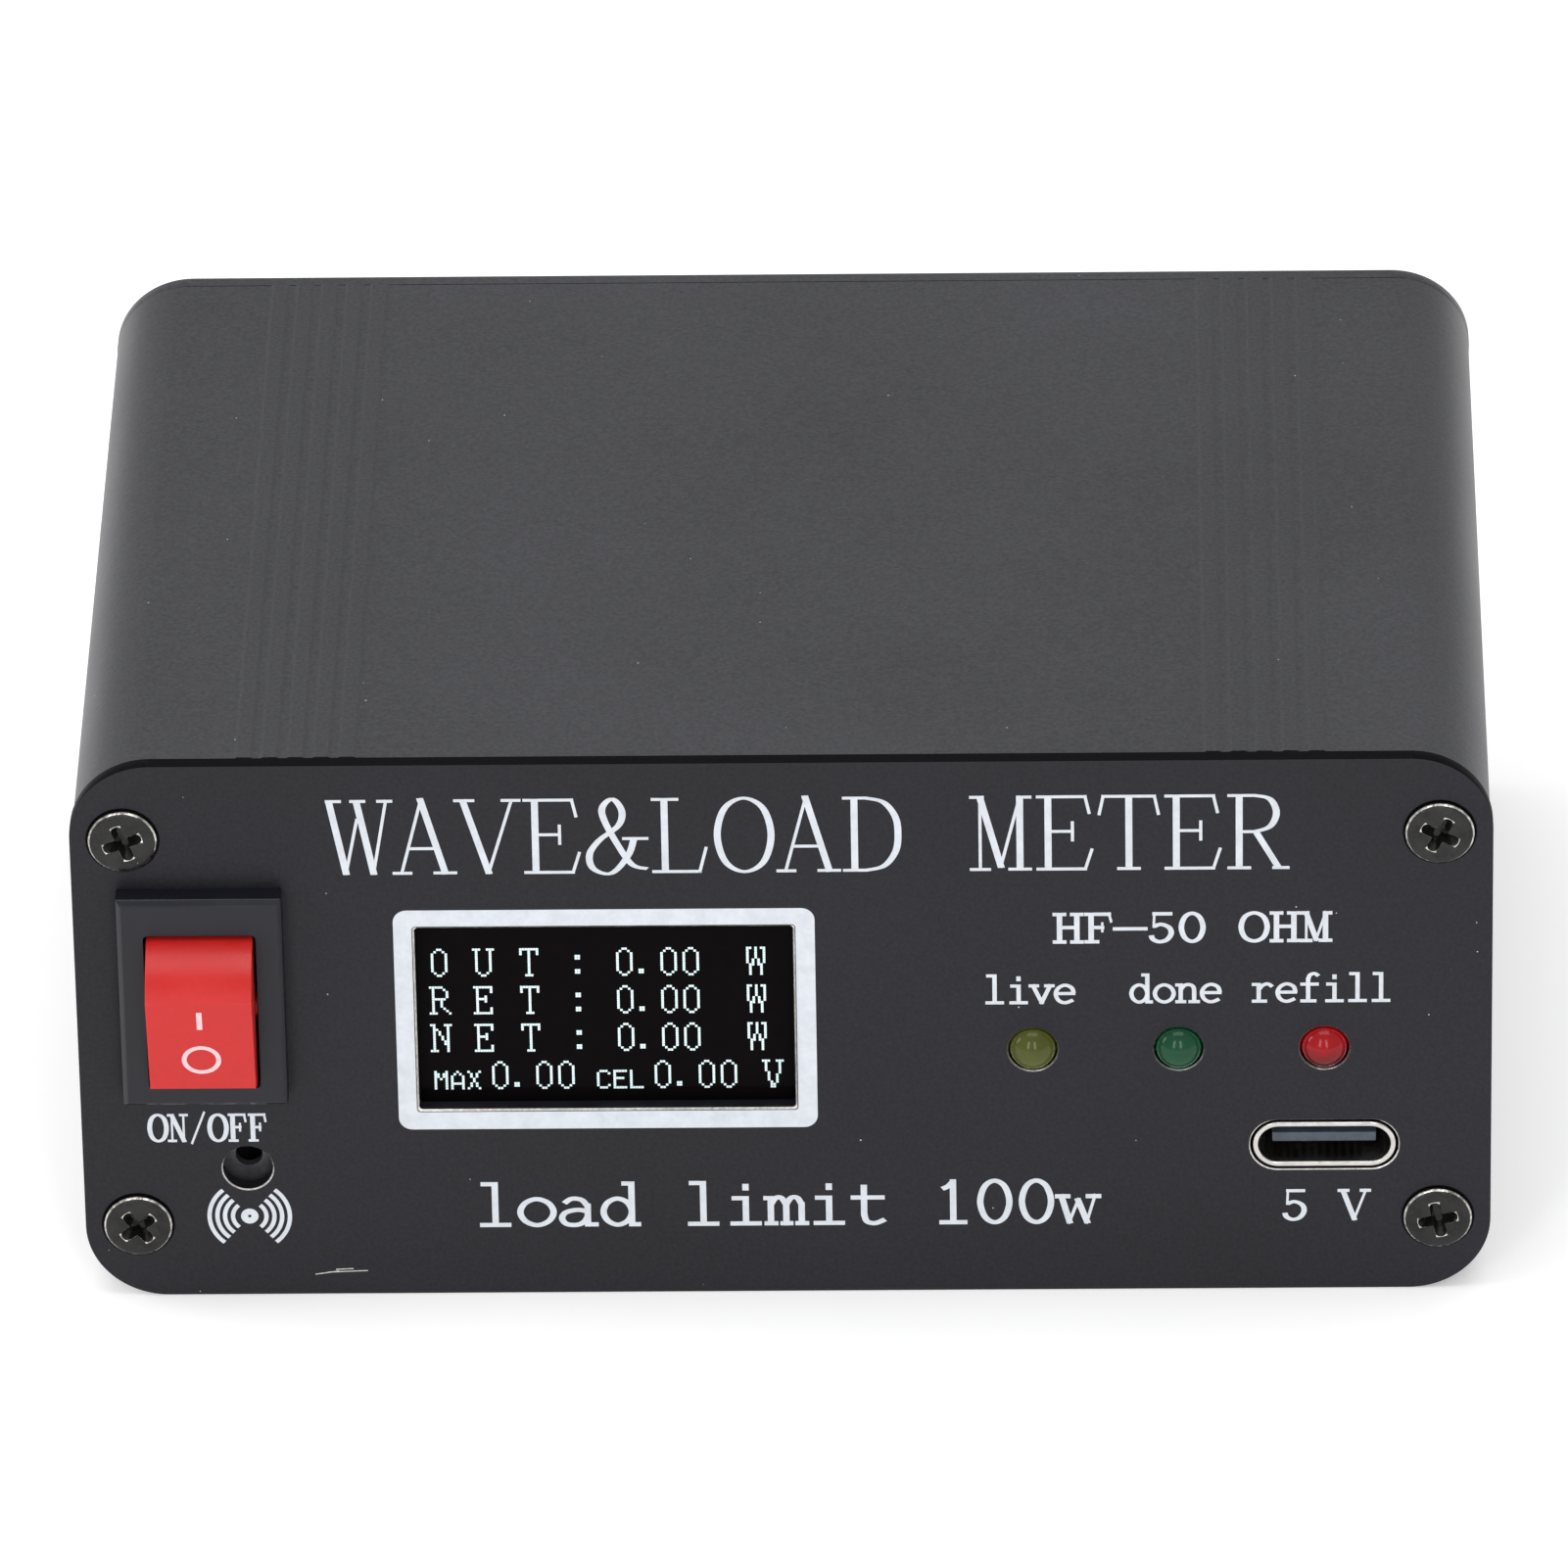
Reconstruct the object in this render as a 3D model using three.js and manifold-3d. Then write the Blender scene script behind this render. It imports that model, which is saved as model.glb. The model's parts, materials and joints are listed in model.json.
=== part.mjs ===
// A desk SWR meter for amateur radio: a two-part extruded case with a front panel (rocker switch, display,
// three LEDs, sounder, charging socket) and a rear panel with two coaxial sockets.
// Millimetres, +Z up, +Y towards the back. The origin is the centre of the case's bottom face.
import * as THREE from "three";
import { mergeVertices } from "three/addons/utils/BufferGeometryUtils.js";
import Module from "manifold-3d";

const wasm = await Module();
wasm.setup();

// ---------------------------------------------------------------- driving dimensions

const seatGap = 0.05; // between flat faces that sit on each other
const runningGap = 0.1; // around a shaft, a lip or a board edge
const turnedGap = 0.35; // between the pieces inside the tilted rocker

const panel = { width: 88, height: 38.6, thickness: 1, corner: 5.1 };

const shell = {
  length: 60,
  sideStep: 0.16, // how far the shells stand back from the panels' ends
  topStep: 0.15, // and from their top edge
  wall: 1.5,
  lipThickness: 0.6,
  lipLength: 1.2,
};

const rib = { count: 5, pitch: 1.6, topWidth: 0.8, baseWidth: 1.25, height: 0.12, inset: 14.1 };
const groove = { width: 0.35, depth: 0.12 };

const screw = {
  insetX: 3.3, // from the panel's edges to each screw
  insetZ: 5.25,
  headRadius: 2.15,
  rimHeight: 0.45, // the part of the head that stands out of the panel
  rimChamfer: 0.35,
  rimSlope: 0.18,
  shankRadius: 1.25,
  coneDepth: 0.9,
  length: 8,
  tipTaper: 0.55,
  recessReach: 1.25,
  recessWidth: 0.55,
  recessDepth: 0.95,
  turns: [20, 62, 38, 12], // how far each cross ended up turned, in degrees
};
const channel = { outerRadius: 2.7 }; // screw channels in the shells' corners

const board = { thickness: 1.6, ledge: 1, ledgeReach: 1.5, aboveSocket: 0.87, frontGap: 0.25, backSpace: 8 };

const bezel = { inset: 7.9, width: 10.3, height: 15, proud: 1.6, centreZ: 3.02, bevel: 0.35 };
const switchBody = {
  width: 8.8,
  height: 13.4,
  depth: 12,
  floor: 1.5,
  barb: 0.25, // how far the snap-in barbs stand out
  barbLength: 3,
  barbHeight: 4,
};
const rocker = {
  centreZ: 2.48, // from the panel's mid-height
  pivotProud: 0.4, // the pivot lies this far in front of the panel's face
  width: 6.6,
  radius: 5.35, // of the curved ends, about the pivot
  sideClearance: 0.175,
  endClearance: 0.2,
  flatDistance: 3.82, // from the pivot to the flat face
  tilt: 14, // degrees either way
  backCut: 1.6,
  skin: 1.2,
  sideWall: 0.8,
  endWall: 0.5,
  pinRadius: 0.8,
  pinReach: 0.55,
};
const stem = { outerRadius: 1.9, boreRadius: 1.3, front: -2, back: 2.6 };
const plunger = { front: 1.4, shoulder: 4.4, tip: 5.2 };
const spring = { meanRadius: 0.55, wireRadius: 0.13, front: -1.5, back: 0.9, turns: 4 };
const seesaw = { pastPlunger: 0.2, thickness: 0.6, halfLength: 4.8, width: 4, tilt: 8, endClearance: 0.75 };
const blade = { width: 4.8, thickness: 0.8, lowerZ: -4.2, back: 7, slotFront: 5 };

const display = {
  windowLeft: -22.85, // the window, from the middle of the panel
  windowRight: 0.65,
  windowTop: 7.5,
  windowBottom: -5.75,
  windowCorner: 0.45,
  glassWidth: 26.7,
  glassHeight: 19.3,
  glassThickness: 1.5,
  glassX: -11.1,
  glassTop: 7.75,
  gasketThickness: 0.25,
  gasketMargin: 0.2,
  boardWidth: 27.3,
  boardHeight: 27.8,
  boardThickness: 1.2,
  boardAboveGlass: 4.4,
};
const header = { width: 10.2, height: 2.5, depth: 2.5, edge: 0.3 };

const chip = { side: 9, height: 1.4, corner: 0.5, x: -26, y: -2 };
const crystal = { length: 11, width: 4.6, height: 3.5, x: -26, y: 9.5 };
const can = { radius: 4, height: 11.5, x: 28, y: 2, crimp: 0.25 };

const led = {
  names: ["led_work", "led_full", "led_charge"],
  colours: [0x5a5f2d, 0x235f3c, 0x960a14],
  lastInset: 10.4, // from the panel's right edge to the last one
  pitch: 9.075,
  z: -1.6,
  radius: 1.5,
  holeRadius: 1.575,
  proud: 0.9,
  flangeRadius: 1.9,
  flangeLength: 1,
  length: 5.3,
};
const ledBoard = { margin: 4.5, height: 8.5, thickness: 1.6 };

const usb = {
  inset: 10.4,
  z: -8.7,
  width: 8.94,
  height: 3.26,
  wall: 0.35,
  length: 7.3,
  openingClearance: 0.17,
  tongueWidth: 6.5,
  tongueThickness: 0.7,
  tongueSetback: 0.9,
  backWall: 1,
};
const charger = { width: 10, length: 17.5, chipWidth: 5, chipLength: 4, chipHeight: 1.5, headerSetback: 15 };

const sounder = {
  pastSwitch: 2.4, // to the right of the switch's middle
  z: -9.95,
  panelHole: 1.57,
  radius: 4.6,
  setback: 1.7, // from the panel's face to the sounder's face
  length: 3.2,
  baseLength: 0.9,
  wall: 0.7,
  soundHole: 0.85,
};

const socket = {
  spacing: 44,
  z: 2.2,
  threadRadius: 7.94,
  threadLength: 13,
  flangeRadius: 10,
  flangeThickness: 2.5,
  mountRadius: 7.5,
  mountLength: 5.5,
  boreRadius: 5.9,
  notchWidth: 1.6,
  notchDepth: 1.1,
  insulatorSetback: 1,
  contactRadius: 2.9,
  contactBore: 2,
  contactBoreDepth: 10,
  cupRadius: 1.6,
  cupBore: 1,
  cupDepth: 3,
  cupReach: 10, // in front of the rear panel
  washerRadius: 9.6,
  washerThickness: 0.8,
  nutAcrossFlats: 19,
  nutThickness: 3,
};

const core = { x: 9, meanRadius: 4.05, halfDepth: 1.15, halfWidth: 2, chamfer: 0.5 };
const winding = { wireRadius: 0.25, turns: 7, overDepth: 0.75, overWidth: 0.8, spread: 290 };
const line = { radius: 0.9, beforeCups: 6, bend: 2 };

const battery = { width: 34, length: 41, x: -5, setback: 10, thickness: 6, padThickness: 1, padInset: 4 };
const lead = { radius: 0.6, gap: 0.3 };

// ---------------------------------------------------------------- values that follow from them

const middle = panel.height / 2; // the panel's mid-height
const face = -shell.length / 2 - panel.thickness; // the front panel's outer face
const panelBack = -shell.length / 2; // and its inner face
const rearPanelFront = shell.length / 2;
const rearFace = rearPanelFront + panel.thickness;
const shellHalfWidth = panel.width / 2 - shell.sideStep;
const shellTop = panel.height - shell.topStep;
const ribX = panel.width / 2 - rib.inset; // the middle of each group of ribs
const screwX = panel.width / 2 - screw.insetX; // from the middle of the panel to each screw
const screwZ = middle - screw.insetZ;
const switchX = -panel.width / 2 + bezel.inset;
const usbX = panel.width / 2 - usb.inset;
const usbZ = middle + usb.z;
const boardUnderside = usbZ + usb.height / 2 + board.aboveSocket;
const boardTop = boardUnderside + board.thickness;
const ledBoardFront = face - led.proud + led.length + seatGap;
const ledBoardBack = ledBoardFront + ledBoard.thickness;
const boardFront = ledBoardBack + board.frontGap; // the LED board stands against the main board's edge
const boardBack = rearPanelFront - board.backSpace;
const pivotY = face - rocker.pivotProud;
const pivotZ = middle + rocker.centreZ;
const radians = THREE.MathUtils.degToRad;

// ---------------------------------------------------------------- solids

function solidOf(geometry) {
  const bare = new THREE.BufferGeometry();
  bare.setAttribute("position", geometry.getAttribute("position"));
  bare.setIndex(geometry.index);
  const merged = mergeVertices(bare, 1e-4);
  const mesh = new wasm.Mesh({
    numProp: 3,
    vertProperties: merged.attributes.position.array,
    triVerts: new Uint32Array(merged.index.array),
  });
  return new wasm.Manifold(mesh);
}

function geometryOf(solid) {
  const mesh = solid.getMesh();
  const geometry = new THREE.BufferGeometry();
  geometry.setAttribute("position", new THREE.BufferAttribute(mesh.vertProperties, 3));
  geometry.setIndex(new THREE.BufferAttribute(mesh.triVerts, 1));
  geometry.computeVertexNormals();
  return geometry;
}

function join(first, ...others) {
  const whole = others.reduce((sum, other) => sum.add(solidOf(other)), solidOf(first));
  return geometryOf(whole);
}

function cut(first, ...tools) {
  const rest = tools.reduce((left, tool) => left.subtract(solidOf(tool)), solidOf(first));
  return geometryOf(rest);
}

function common(first, second) {
  return geometryOf(solidOf(first).intersect(solidOf(second)));
}

// A box from its lowest to its highest corner.
function block(low, high) {
  const size = high.map((value, axis) => value - low[axis]);
  const centre = high.map((value, axis) => (value + low[axis]) / 2);
  return new THREE.BoxGeometry(...size).translate(...centre);
}

// A rectangle with round corners in the X and Z of a panel, or the X and Y of a board.
function roundedOutline(width, height, radius, x = 0, z = 0, Kind = THREE.Shape) {
  const [right, top] = [width / 2 - radius, height / 2 - radius];
  const outline = new Kind();
  outline.absarc(x + right, z + top, radius, 0, Math.PI / 2);
  outline.absarc(x - right, z + top, radius, Math.PI / 2, Math.PI);
  outline.absarc(x - right, z - top, radius, Math.PI, 1.5 * Math.PI);
  outline.absarc(x + right, z - top, radius, 1.5 * Math.PI, 2 * Math.PI);
  return outline;
}

// The corner radius that gives a bar of this height nearly half-round ends.
function endRadius(height) {
  return height / 2 - 0.01;
}

function circleHole(radius, x, z) {
  const circle = new THREE.Path();
  for (let quarter = 4; quarter > 0; quarter -= 1) {
    circle.absarc(x, z, radius, (quarter * Math.PI) / 2, ((quarter - 1) * Math.PI) / 2, true);
  }
  return circle;
}

// An outline drawn in X and Z, given its depth along Y. An arc gets twice as many steps as curveSegments.
function plate(outline, front, back, curveSegments = 3) {
  const options = { depth: back - front, bevelEnabled: false, curveSegments };
  return new THREE.ExtrudeGeometry(outline, options).rotateX(Math.PI / 2).translate(0, back, 0);
}

// An outline drawn in X and Y, given its height along Z.
function slab(outline, low, high, curveSegments = 2) {
  const options = { depth: high - low, bevelEnabled: false, curveSegments };
  return new THREE.ExtrudeGeometry(outline, options).translate(0, 0, low);
}

// An outline drawn in Y and Z, given its width along X, centred on x = 0.
function cheek(points, width) {
  const outline = new THREE.Shape(points.map(([y, z]) => new THREE.Vector2(y, z)));
  const options = { depth: width, bevelEnabled: false };
  const geometry = new THREE.ExtrudeGeometry(outline, options).translate(0, 0, -width / 2);
  // Turns the drawing plane's x and y to Y and Z, and its depth to X.
  const turn = new THREE.Matrix4().makeBasis(
    new THREE.Vector3(0, 1, 0),
    new THREE.Vector3(0, 0, 1),
    new THREE.Vector3(1, 0, 0),
  );
  return geometry.applyMatrix4(turn);
}

// A solid of revolution about an axis along Y. The profile is (radius, y) from its front to its back.
function turned(profile, segments = 24) {
  const points = profile.map(([radius, y]) => new THREE.Vector2(radius, y));
  return new THREE.LatheGeometry(points, segments);
}

function rod(radius, front, back, segments = 24) {
  return turned([[0, front], [radius, front], [radius, back], [0, back]], segments);
}

// A closed ring about an axis along Y.
function ring(innerRadius, outerRadius, front, back, segments = 24) {
  const profile = [[innerRadius, front], [outerRadius, front], [outerRadius, back], [innerRadius, back]];
  return turned([...profile, profile[0]], segments);
}

// A round wire along a smooth curve through the given points.
function wire(points, radius, steps, sides = 8) {
  const section = new THREE.Shape().absarc(0, 0, radius, 0, 2 * Math.PI);
  const curveSegments = sides / 2;
  const path = new THREE.CatmullRomCurve3(points.map((point) => new THREE.Vector3(...point)));
  return new THREE.ExtrudeGeometry(section, { steps, extrudePath: path, curveSegments });
}

// ---------------------------------------------------------------- the group and its materials

const group = new THREE.Group();

const finishes = {
  blackAnodised: { color: 0x35353a, roughness: 0.55, metalness: 0.2 },
  caseTop: { color: 0x505156, roughness: 0.6, metalness: 0.2 },
  blackSteel: { color: 0x38352f, roughness: 0.35, metalness: 0.8 },
  blackPlastic: { color: 0x232329, roughness: 0.4, metalness: 0 },
  redPlastic: { color: 0xd7483f, roughness: 0.35, metalness: 0 },
  brightSteel: { color: 0xc8c8c6, roughness: 0.25, metalness: 1 },
  nickel: { color: 0xb9b7ae, roughness: 0.25, metalness: 1 },
  brass: { color: 0xc2a24f, roughness: 0.3, metalness: 1 },
  copper: { color: 0xb26a3c, roughness: 0.35, metalness: 1 },
  screenGlass: { color: 0x0e0c0d, roughness: 0.1, metalness: 0 },
  foam: { color: 0x18181a, roughness: 0.9, metalness: 0 },
  greenBoard: { color: 0x1f4d2c, roughness: 0.5, metalness: 0 },
  blueBoard: { color: 0x1d3a6b, roughness: 0.5, metalness: 0 },
  ferrite: { color: 0x4a4c50, roughness: 0.7, metalness: 0 },
  whiteInsulator: { color: 0xeeece6, roughness: 0.5, metalness: 0 },
  blueFoil: { color: 0x2c4f9a, roughness: 0.4, metalness: 0 },
  silverFoil: { color: 0xa9abad, roughness: 0.4, metalness: 0.6 },
  blueTongue: { color: 0x4c5560, roughness: 0.4, metalness: 0 },
  redWire: { color: 0xb3201c, roughness: 0.5, metalness: 0 },
  blackWire: { color: 0x19191b, roughness: 0.5, metalness: 0 },
};

function addPiece(name, geometry, finish, parent = group) {
  const mesh = new THREE.Mesh(geometry, new THREE.MeshStandardMaterial(finish));
  mesh.name = name;
  parent.add(mesh);
  return mesh;
}

// ---------------------------------------------------------------- case shells

// The four screw places, from the middle of a panel: top left, top right, bottom left, bottom right.
const screwPlaces = [
  [-screwX, screwZ],
  [screwX, screwZ],
  [-screwX, -screwZ],
  [screwX, -screwZ],
];

const shellFront = -shell.length / 2 + seatGap;
const shellBack = shell.length / 2 - seatGap;

// The whole extrusion's wall, before it is parted at mid-height.
function extrusionTube() {
  const centre = shellTop / 2;
  const outer = roundedOutline(2 * shellHalfWidth, shellTop, panel.corner, 0, centre);
  const innerRadius = panel.corner - shell.wall;
  const innerWidth = 2 * (shellHalfWidth - shell.wall);
  const innerHeight = shellTop - 2 * shell.wall;
  outer.holes.push(roundedOutline(innerWidth, innerHeight, innerRadius, 0, centre, THREE.Path));
  return plate(outer, shellFront, shellBack, 4);
}

function ribGroup(centre) {
  const ribs = [];
  for (let index = 0; index < rib.count; index += 1) {
    const x = centre + (index - (rib.count - 1) / 2) * rib.pitch;
    const outline = new THREE.Shape([
      new THREE.Vector2(x - rib.baseWidth / 2, shellTop - shell.wall / 2),
      new THREE.Vector2(x + rib.baseWidth / 2, shellTop - shell.wall / 2),
      new THREE.Vector2(x + rib.baseWidth / 2, shellTop),
      new THREE.Vector2(x + rib.topWidth / 2, shellTop + rib.height),
      new THREE.Vector2(x - rib.topWidth / 2, shellTop + rib.height),
      new THREE.Vector2(x - rib.baseWidth / 2, shellTop),
    ]);
    ribs.push(plate(outline, shellFront, shellBack));
  }
  return ribs;
}

function grooveGroup(centre) {
  const grooves = [];
  for (let index = 0; index < rib.count - 1; index += 1) {
    const x = centre + (index - (rib.count - 2) / 2) * rib.pitch;
    const low = [x - groove.width / 2, face, -1];
    grooves.push(block(low, [x + groove.width / 2, -face, groove.depth]));
  }
  return grooves;
}

// One half of the case: side is 1 for the top shell and -1 for the bottom shell.
function halfShell(side) {
  const z = (fromMiddle) => middle + side * fromMiddle;
  const [near, far] = [shellFront, shellBack];
  const layer = (x0, x1, from, to) => {
    const levels = [z(from), z(to)].sort((a, b) => a - b);
    const sides = [x0, x1].sort((a, b) => a - b);
    return block([sides[0], near, levels[0]], [sides[1], far, levels[1]]);
  };
  const innerWall = shellHalfWidth - shell.wall;
  const boardMiddle = middle - boardUnderside - board.thickness / 2;
  const slot = board.thickness / 2 + runningGap;
  const added = [];
  const removed = [];
  for (const hand of [-1, 1]) {
    const centre = [hand * screwX, z(screwZ)];
    const tube = rod(channel.outerRadius, near, far, 20).translate(centre[0], 0, centre[1]);
    added.push(tube);
    removed.push(rod(screw.shankRadius + runningGap, face, -face, 20).translate(centre[0], 0, centre[1]));
    for (const edge of [boardMiddle - slot - board.ledge, boardMiddle + slot]) {
      const inside = hand * (innerWall - board.ledgeReach);
      added.push(layer(inside, hand * (innerWall + shell.wall / 2), edge, edge + board.ledge));
    }
  }
  const half = common(extrusionTube(), layer(-panel.width, panel.width, seatGap / 2, panel.height));
  const body = join(half, ...added);
  return cut(body, ...removed);
}

function topShell() {
  const inner = shellHalfWidth - shell.wall;
  const lips = [-1, 1].map((hand) => {
    const sides = [hand * inner, hand * (inner + shell.lipThickness)].sort((a, b) => a - b);
    const low = [sides[0], shellFront, middle - shell.lipLength];
    return block(low, [sides[1], shellBack, middle + shell.wall]);
  });
  return join(halfShell(1), ...lips, ...ribGroup(-ribX), ...ribGroup(ribX));
}

function bottomShell() {
  const inner = shellHalfWidth - shell.wall;
  const rebates = [-1, 1].map((hand) => {
    const reach = inner + shell.lipThickness + runningGap;
    const sides = [hand * (inner - 1), hand * reach].sort((a, b) => a - b);
    const low = [sides[0], face, middle - shell.lipLength - runningGap];
    return block(low, [sides[1], -face, middle + 1]);
  });
  const grooves = [...grooveGroup(-ribX), ...grooveGroup(ribX)];
  return cut(halfShell(-1), ...rebates, ...grooves);
}

addPiece("top_shell", topShell(), finishes.caseTop);
addPiece("bottom_shell", bottomShell(), finishes.caseTop);

// ---------------------------------------------------------------- panels and their screws

const headClearance = 0.15;

// The countersink in a front panel, as a cutter with its wide end at the outer face.
function countersink(x, z) {
  const wide = screw.headRadius + headClearance;
  const narrow = screw.shankRadius + headClearance;
  const profile = [
    [0, face - 1],
    [wide, face - 1],
    [wide, face],
    [narrow, face + screw.coneDepth],
    [narrow, panelBack + 1],
    [0, panelBack + 1],
  ];
  return turned(profile, 20).translate(x, 0, middle + z);
}

function panelBlank(holes) {
  const outline = roundedOutline(panel.width, panel.height, panel.corner, 0, middle);
  outline.holes.push(...holes);
  const blank = plate(outline, face, panelBack);
  return cut(blank, ...screwPlaces.map(([x, z]) => countersink(x, z)));
}

function frontPanel() {
  const clearance = 2 * runningGap;
  const holes = [];
  const switchWidth = switchBody.width + clearance;
  const switchHeight = switchBody.height + clearance;
  holes.push(roundedOutline(switchWidth, switchHeight, 0.2, switchX, middle + bezel.centreZ, THREE.Path));
  const windowWidth = display.windowRight - display.windowLeft;
  const windowHeight = display.windowTop - display.windowBottom;
  const windowX = (display.windowRight + display.windowLeft) / 2;
  const windowZ = middle + (display.windowTop + display.windowBottom) / 2;
  holes.push(roundedOutline(windowWidth, windowHeight, display.windowCorner, windowX, windowZ, THREE.Path));
  holes.push(...ledX.map((x) => circleHole(led.holeRadius, x, middle + led.z)));
  holes.push(circleHole(sounder.panelHole, sounderX, middle + sounder.z));
  const usbWidth = usb.width + 2 * usb.openingClearance;
  const usbHeight = usb.height + 2 * usb.openingClearance;
  holes.push(roundedOutline(usbWidth, usbHeight, endRadius(usbHeight), usbX, usbZ, THREE.Path));
  return panelBlank(holes);
}

const ledX = led.names.map((name, index) => {
  return panel.width / 2 - led.lastInset - (led.names.length - 1 - index) * led.pitch;
});
const sounderX = switchX + sounder.pastSwitch;
const socketPlaces = [-socket.spacing / 2, socket.spacing / 2];

// The rear panel is made like the front one and turned end for end.
function rearPanel() {
  const radius = socket.mountRadius + runningGap;
  const holes = socketPlaces.map((x) => circleHole(radius, x, middle + socket.z));
  return panelBlank(holes).rotateZ(Math.PI);
}

// A countersunk cross-recess screw in the front panel, at the middle of the panel.
function panelScrew() {
  const profile = [
    [0, face - screw.rimHeight],
    [screw.headRadius - screw.rimChamfer, face - screw.rimHeight],
    [screw.headRadius, face - screw.rimHeight + screw.rimSlope],
    [screw.headRadius, face],
    [screw.shankRadius, face + screw.coneDepth],
    [screw.shankRadius, face + screw.length - screw.tipTaper],
    [screw.shankRadius - screw.tipTaper, face + screw.length],
    [0, face + screw.length],
  ];
  const bottom = face - screw.rimHeight + screw.recessDepth;
  const across = [screw.recessReach, screw.recessWidth / 2];
  const slots = [across, [...across].reverse()].map(([x, z]) => block([-x, face - 2, -z], [x, bottom, z]));
  return cut(turned(profile, 16), ...slots);
}

addPiece("front_panel", frontPanel(), finishes.blackAnodised);
addPiece("rear_panel", rearPanel(), finishes.blackAnodised);

screwPlaces.forEach(([x, z], index) => {
  const cross = panelScrew().rotateY(radians(screw.turns[index]));
  const front = cross.clone().translate(x, 0, middle + z);
  addPiece(`front_screw_${index + 1}`, front, finishes.blackSteel);
  const rear = cross.clone().rotateZ(Math.PI).translate(x, 0, middle + z);
  addPiece(`rear_screw_${index + 1}`, rear, finishes.blackSteel);
});

// ---------------------------------------------------------------- rocker switch

function switchHousing() {
  const z = middle + bezel.centreZ;
  const [halfWidth, halfHeight] = [bezel.width / 2, bezel.height / 2];
  const flange = roundedOutline(bezel.width, bezel.height, bezel.bevel, switchX, z);
  const front = face - bezel.proud;
  const body = block(
    [switchX - switchBody.width / 2, face - bezel.proud / 2, z - switchBody.height / 2],
    [switchX + switchBody.width / 2, face + switchBody.depth, z + switchBody.height / 2],
  );
  const barbReach = switchBody.width / 2 + switchBody.barb;
  const barb = block(
    [switchX - barbReach, panelBack + seatGap, z - switchBody.barbHeight / 2],
    [switchX + barbReach, panelBack + switchBody.barbLength, z + switchBody.barbHeight / 2],
  );
  const halfOpening = rocker.width / 2 + rocker.sideClearance;
  const halfCavity = rocker.radius + rocker.endClearance;
  const floor = face + switchBody.depth - switchBody.floor;
  const cavity = block(
    [switchX - halfOpening, front - 1, pivotZ - halfCavity],
    [switchX + halfOpening, floor, pivotZ + halfCavity],
  );
  const halfChamber = Math.max(halfCavity, seesaw.halfLength + seesaw.endClearance);
  const chamber = block(
    [switchX - halfOpening, pivotY + stem.back, pivotZ - halfChamber],
    [switchX + halfOpening, floor, pivotZ + halfChamber],
  );
  const pocketReach = rocker.width / 2 + rocker.pinReach + runningGap;
  const pockets = rod(rocker.pinRadius + runningGap, -pocketReach, pocketReach)
    .rotateZ(Math.PI / 2)
    .translate(switchX, pivotY, pivotZ);
  const slotFront = face + blade.slotFront;
  const slotBack = face + 2 * switchBody.depth;
  const slots = [0, blade.lowerZ].map((below) => bladeBox(below, slotFront, slotBack, runningGap));
  // A sloped edge all round the bezel's face.
  const slope = Math.hypot(bezel.bevel, bezel.bevel);
  const bevels = [];
  for (const hand of [-1, 1]) {
    const alongZ = new THREE.BoxGeometry(slope, slope, 2 * bezel.height).rotateZ(Math.PI / 4);
    bevels.push(alongZ.translate(switchX + hand * halfWidth, front, z));
    const alongX = new THREE.BoxGeometry(2 * bezel.width, slope, slope).rotateX(Math.PI / 4);
    bevels.push(alongX.translate(switchX, front, z + hand * halfHeight));
  }
  const solid = join(plate(flange, front, face - seatGap), body, barb);
  return cut(solid, cavity, chamber, pockets, ...slots, ...bevels);
}

// The box a terminal fills, from front to back, grown by a clearance.
function bladeBox(below, front, back, clearance = 0) {
  const [x, z] = [blade.width / 2 + clearance, blade.thickness / 2 + clearance];
  return block([switchX - x, front, pivotZ + below - z], [switchX + x, back, pivotZ + below + z]);
}

// The rocker is drawn about its pivot with its flat face upright.
function rockerShape() {
  const halfFlat = Math.sqrt(rocker.radius ** 2 - rocker.flatDistance ** 2);
  const flatAngle = Math.atan2(halfFlat, -rocker.flatDistance);
  const backAngle = Math.acos(rocker.backCut / rocker.radius);
  const steps = 10;
  const upper = [];
  for (let step = 0; step <= steps; step += 1) {
    const angle = flatAngle + (backAngle - flatAngle) * (step / steps);
    upper.push([rocker.radius * Math.cos(angle), rocker.radius * Math.sin(angle)]);
  }
  const lower = upper.map(([y, z]) => [y, -z]).reverse();
  const body = cheek([...upper, ...lower], rocker.width);
  const hollowSide = rocker.width / 2 - rocker.sideWall;
  const hollowFront = -rocker.flatDistance + rocker.skin;
  const hollowEnd = Math.sqrt((rocker.radius - rocker.endWall) ** 2 - hollowFront ** 2);
  const hollow = block([-hollowSide, hollowFront, -hollowEnd], [hollowSide, rocker.backCut + 1, hollowEnd]);
  const post = rod(stem.outerRadius, hollowFront - 0.5, stem.back);
  const bore = rod(stem.boreRadius, stem.front, stem.back + 1);
  const pinLength = rocker.pinReach + rocker.sideWall / 2;
  const pinMiddle = rocker.width / 2 + rocker.pinReach - pinLength / 2;
  const pins = [-1, 1].map((hand) => {
    const pin = rod(rocker.pinRadius, -pinLength / 2, pinLength / 2, 16);
    return pin.rotateZ(Math.PI / 2).translate(hand * pinMiddle, 0, 0);
  });
  return cut(join(cut(body, hollow), post, ...pins), bore);
}

function plungerShape() {
  const round = plunger.tip - plunger.shoulder;
  const radius = stem.boreRadius - turnedGap;
  const steps = 3;
  const profile = [[0, plunger.front], [radius, plunger.front]];
  for (let step = 0; step < steps; step += 1) {
    const angle = (Math.PI / 2) * (step / steps);
    profile.push([radius * Math.cos(angle), plunger.shoulder + round * Math.sin(angle)]);
  }
  return turned([...profile, [0, plunger.tip]], 12);
}

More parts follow.
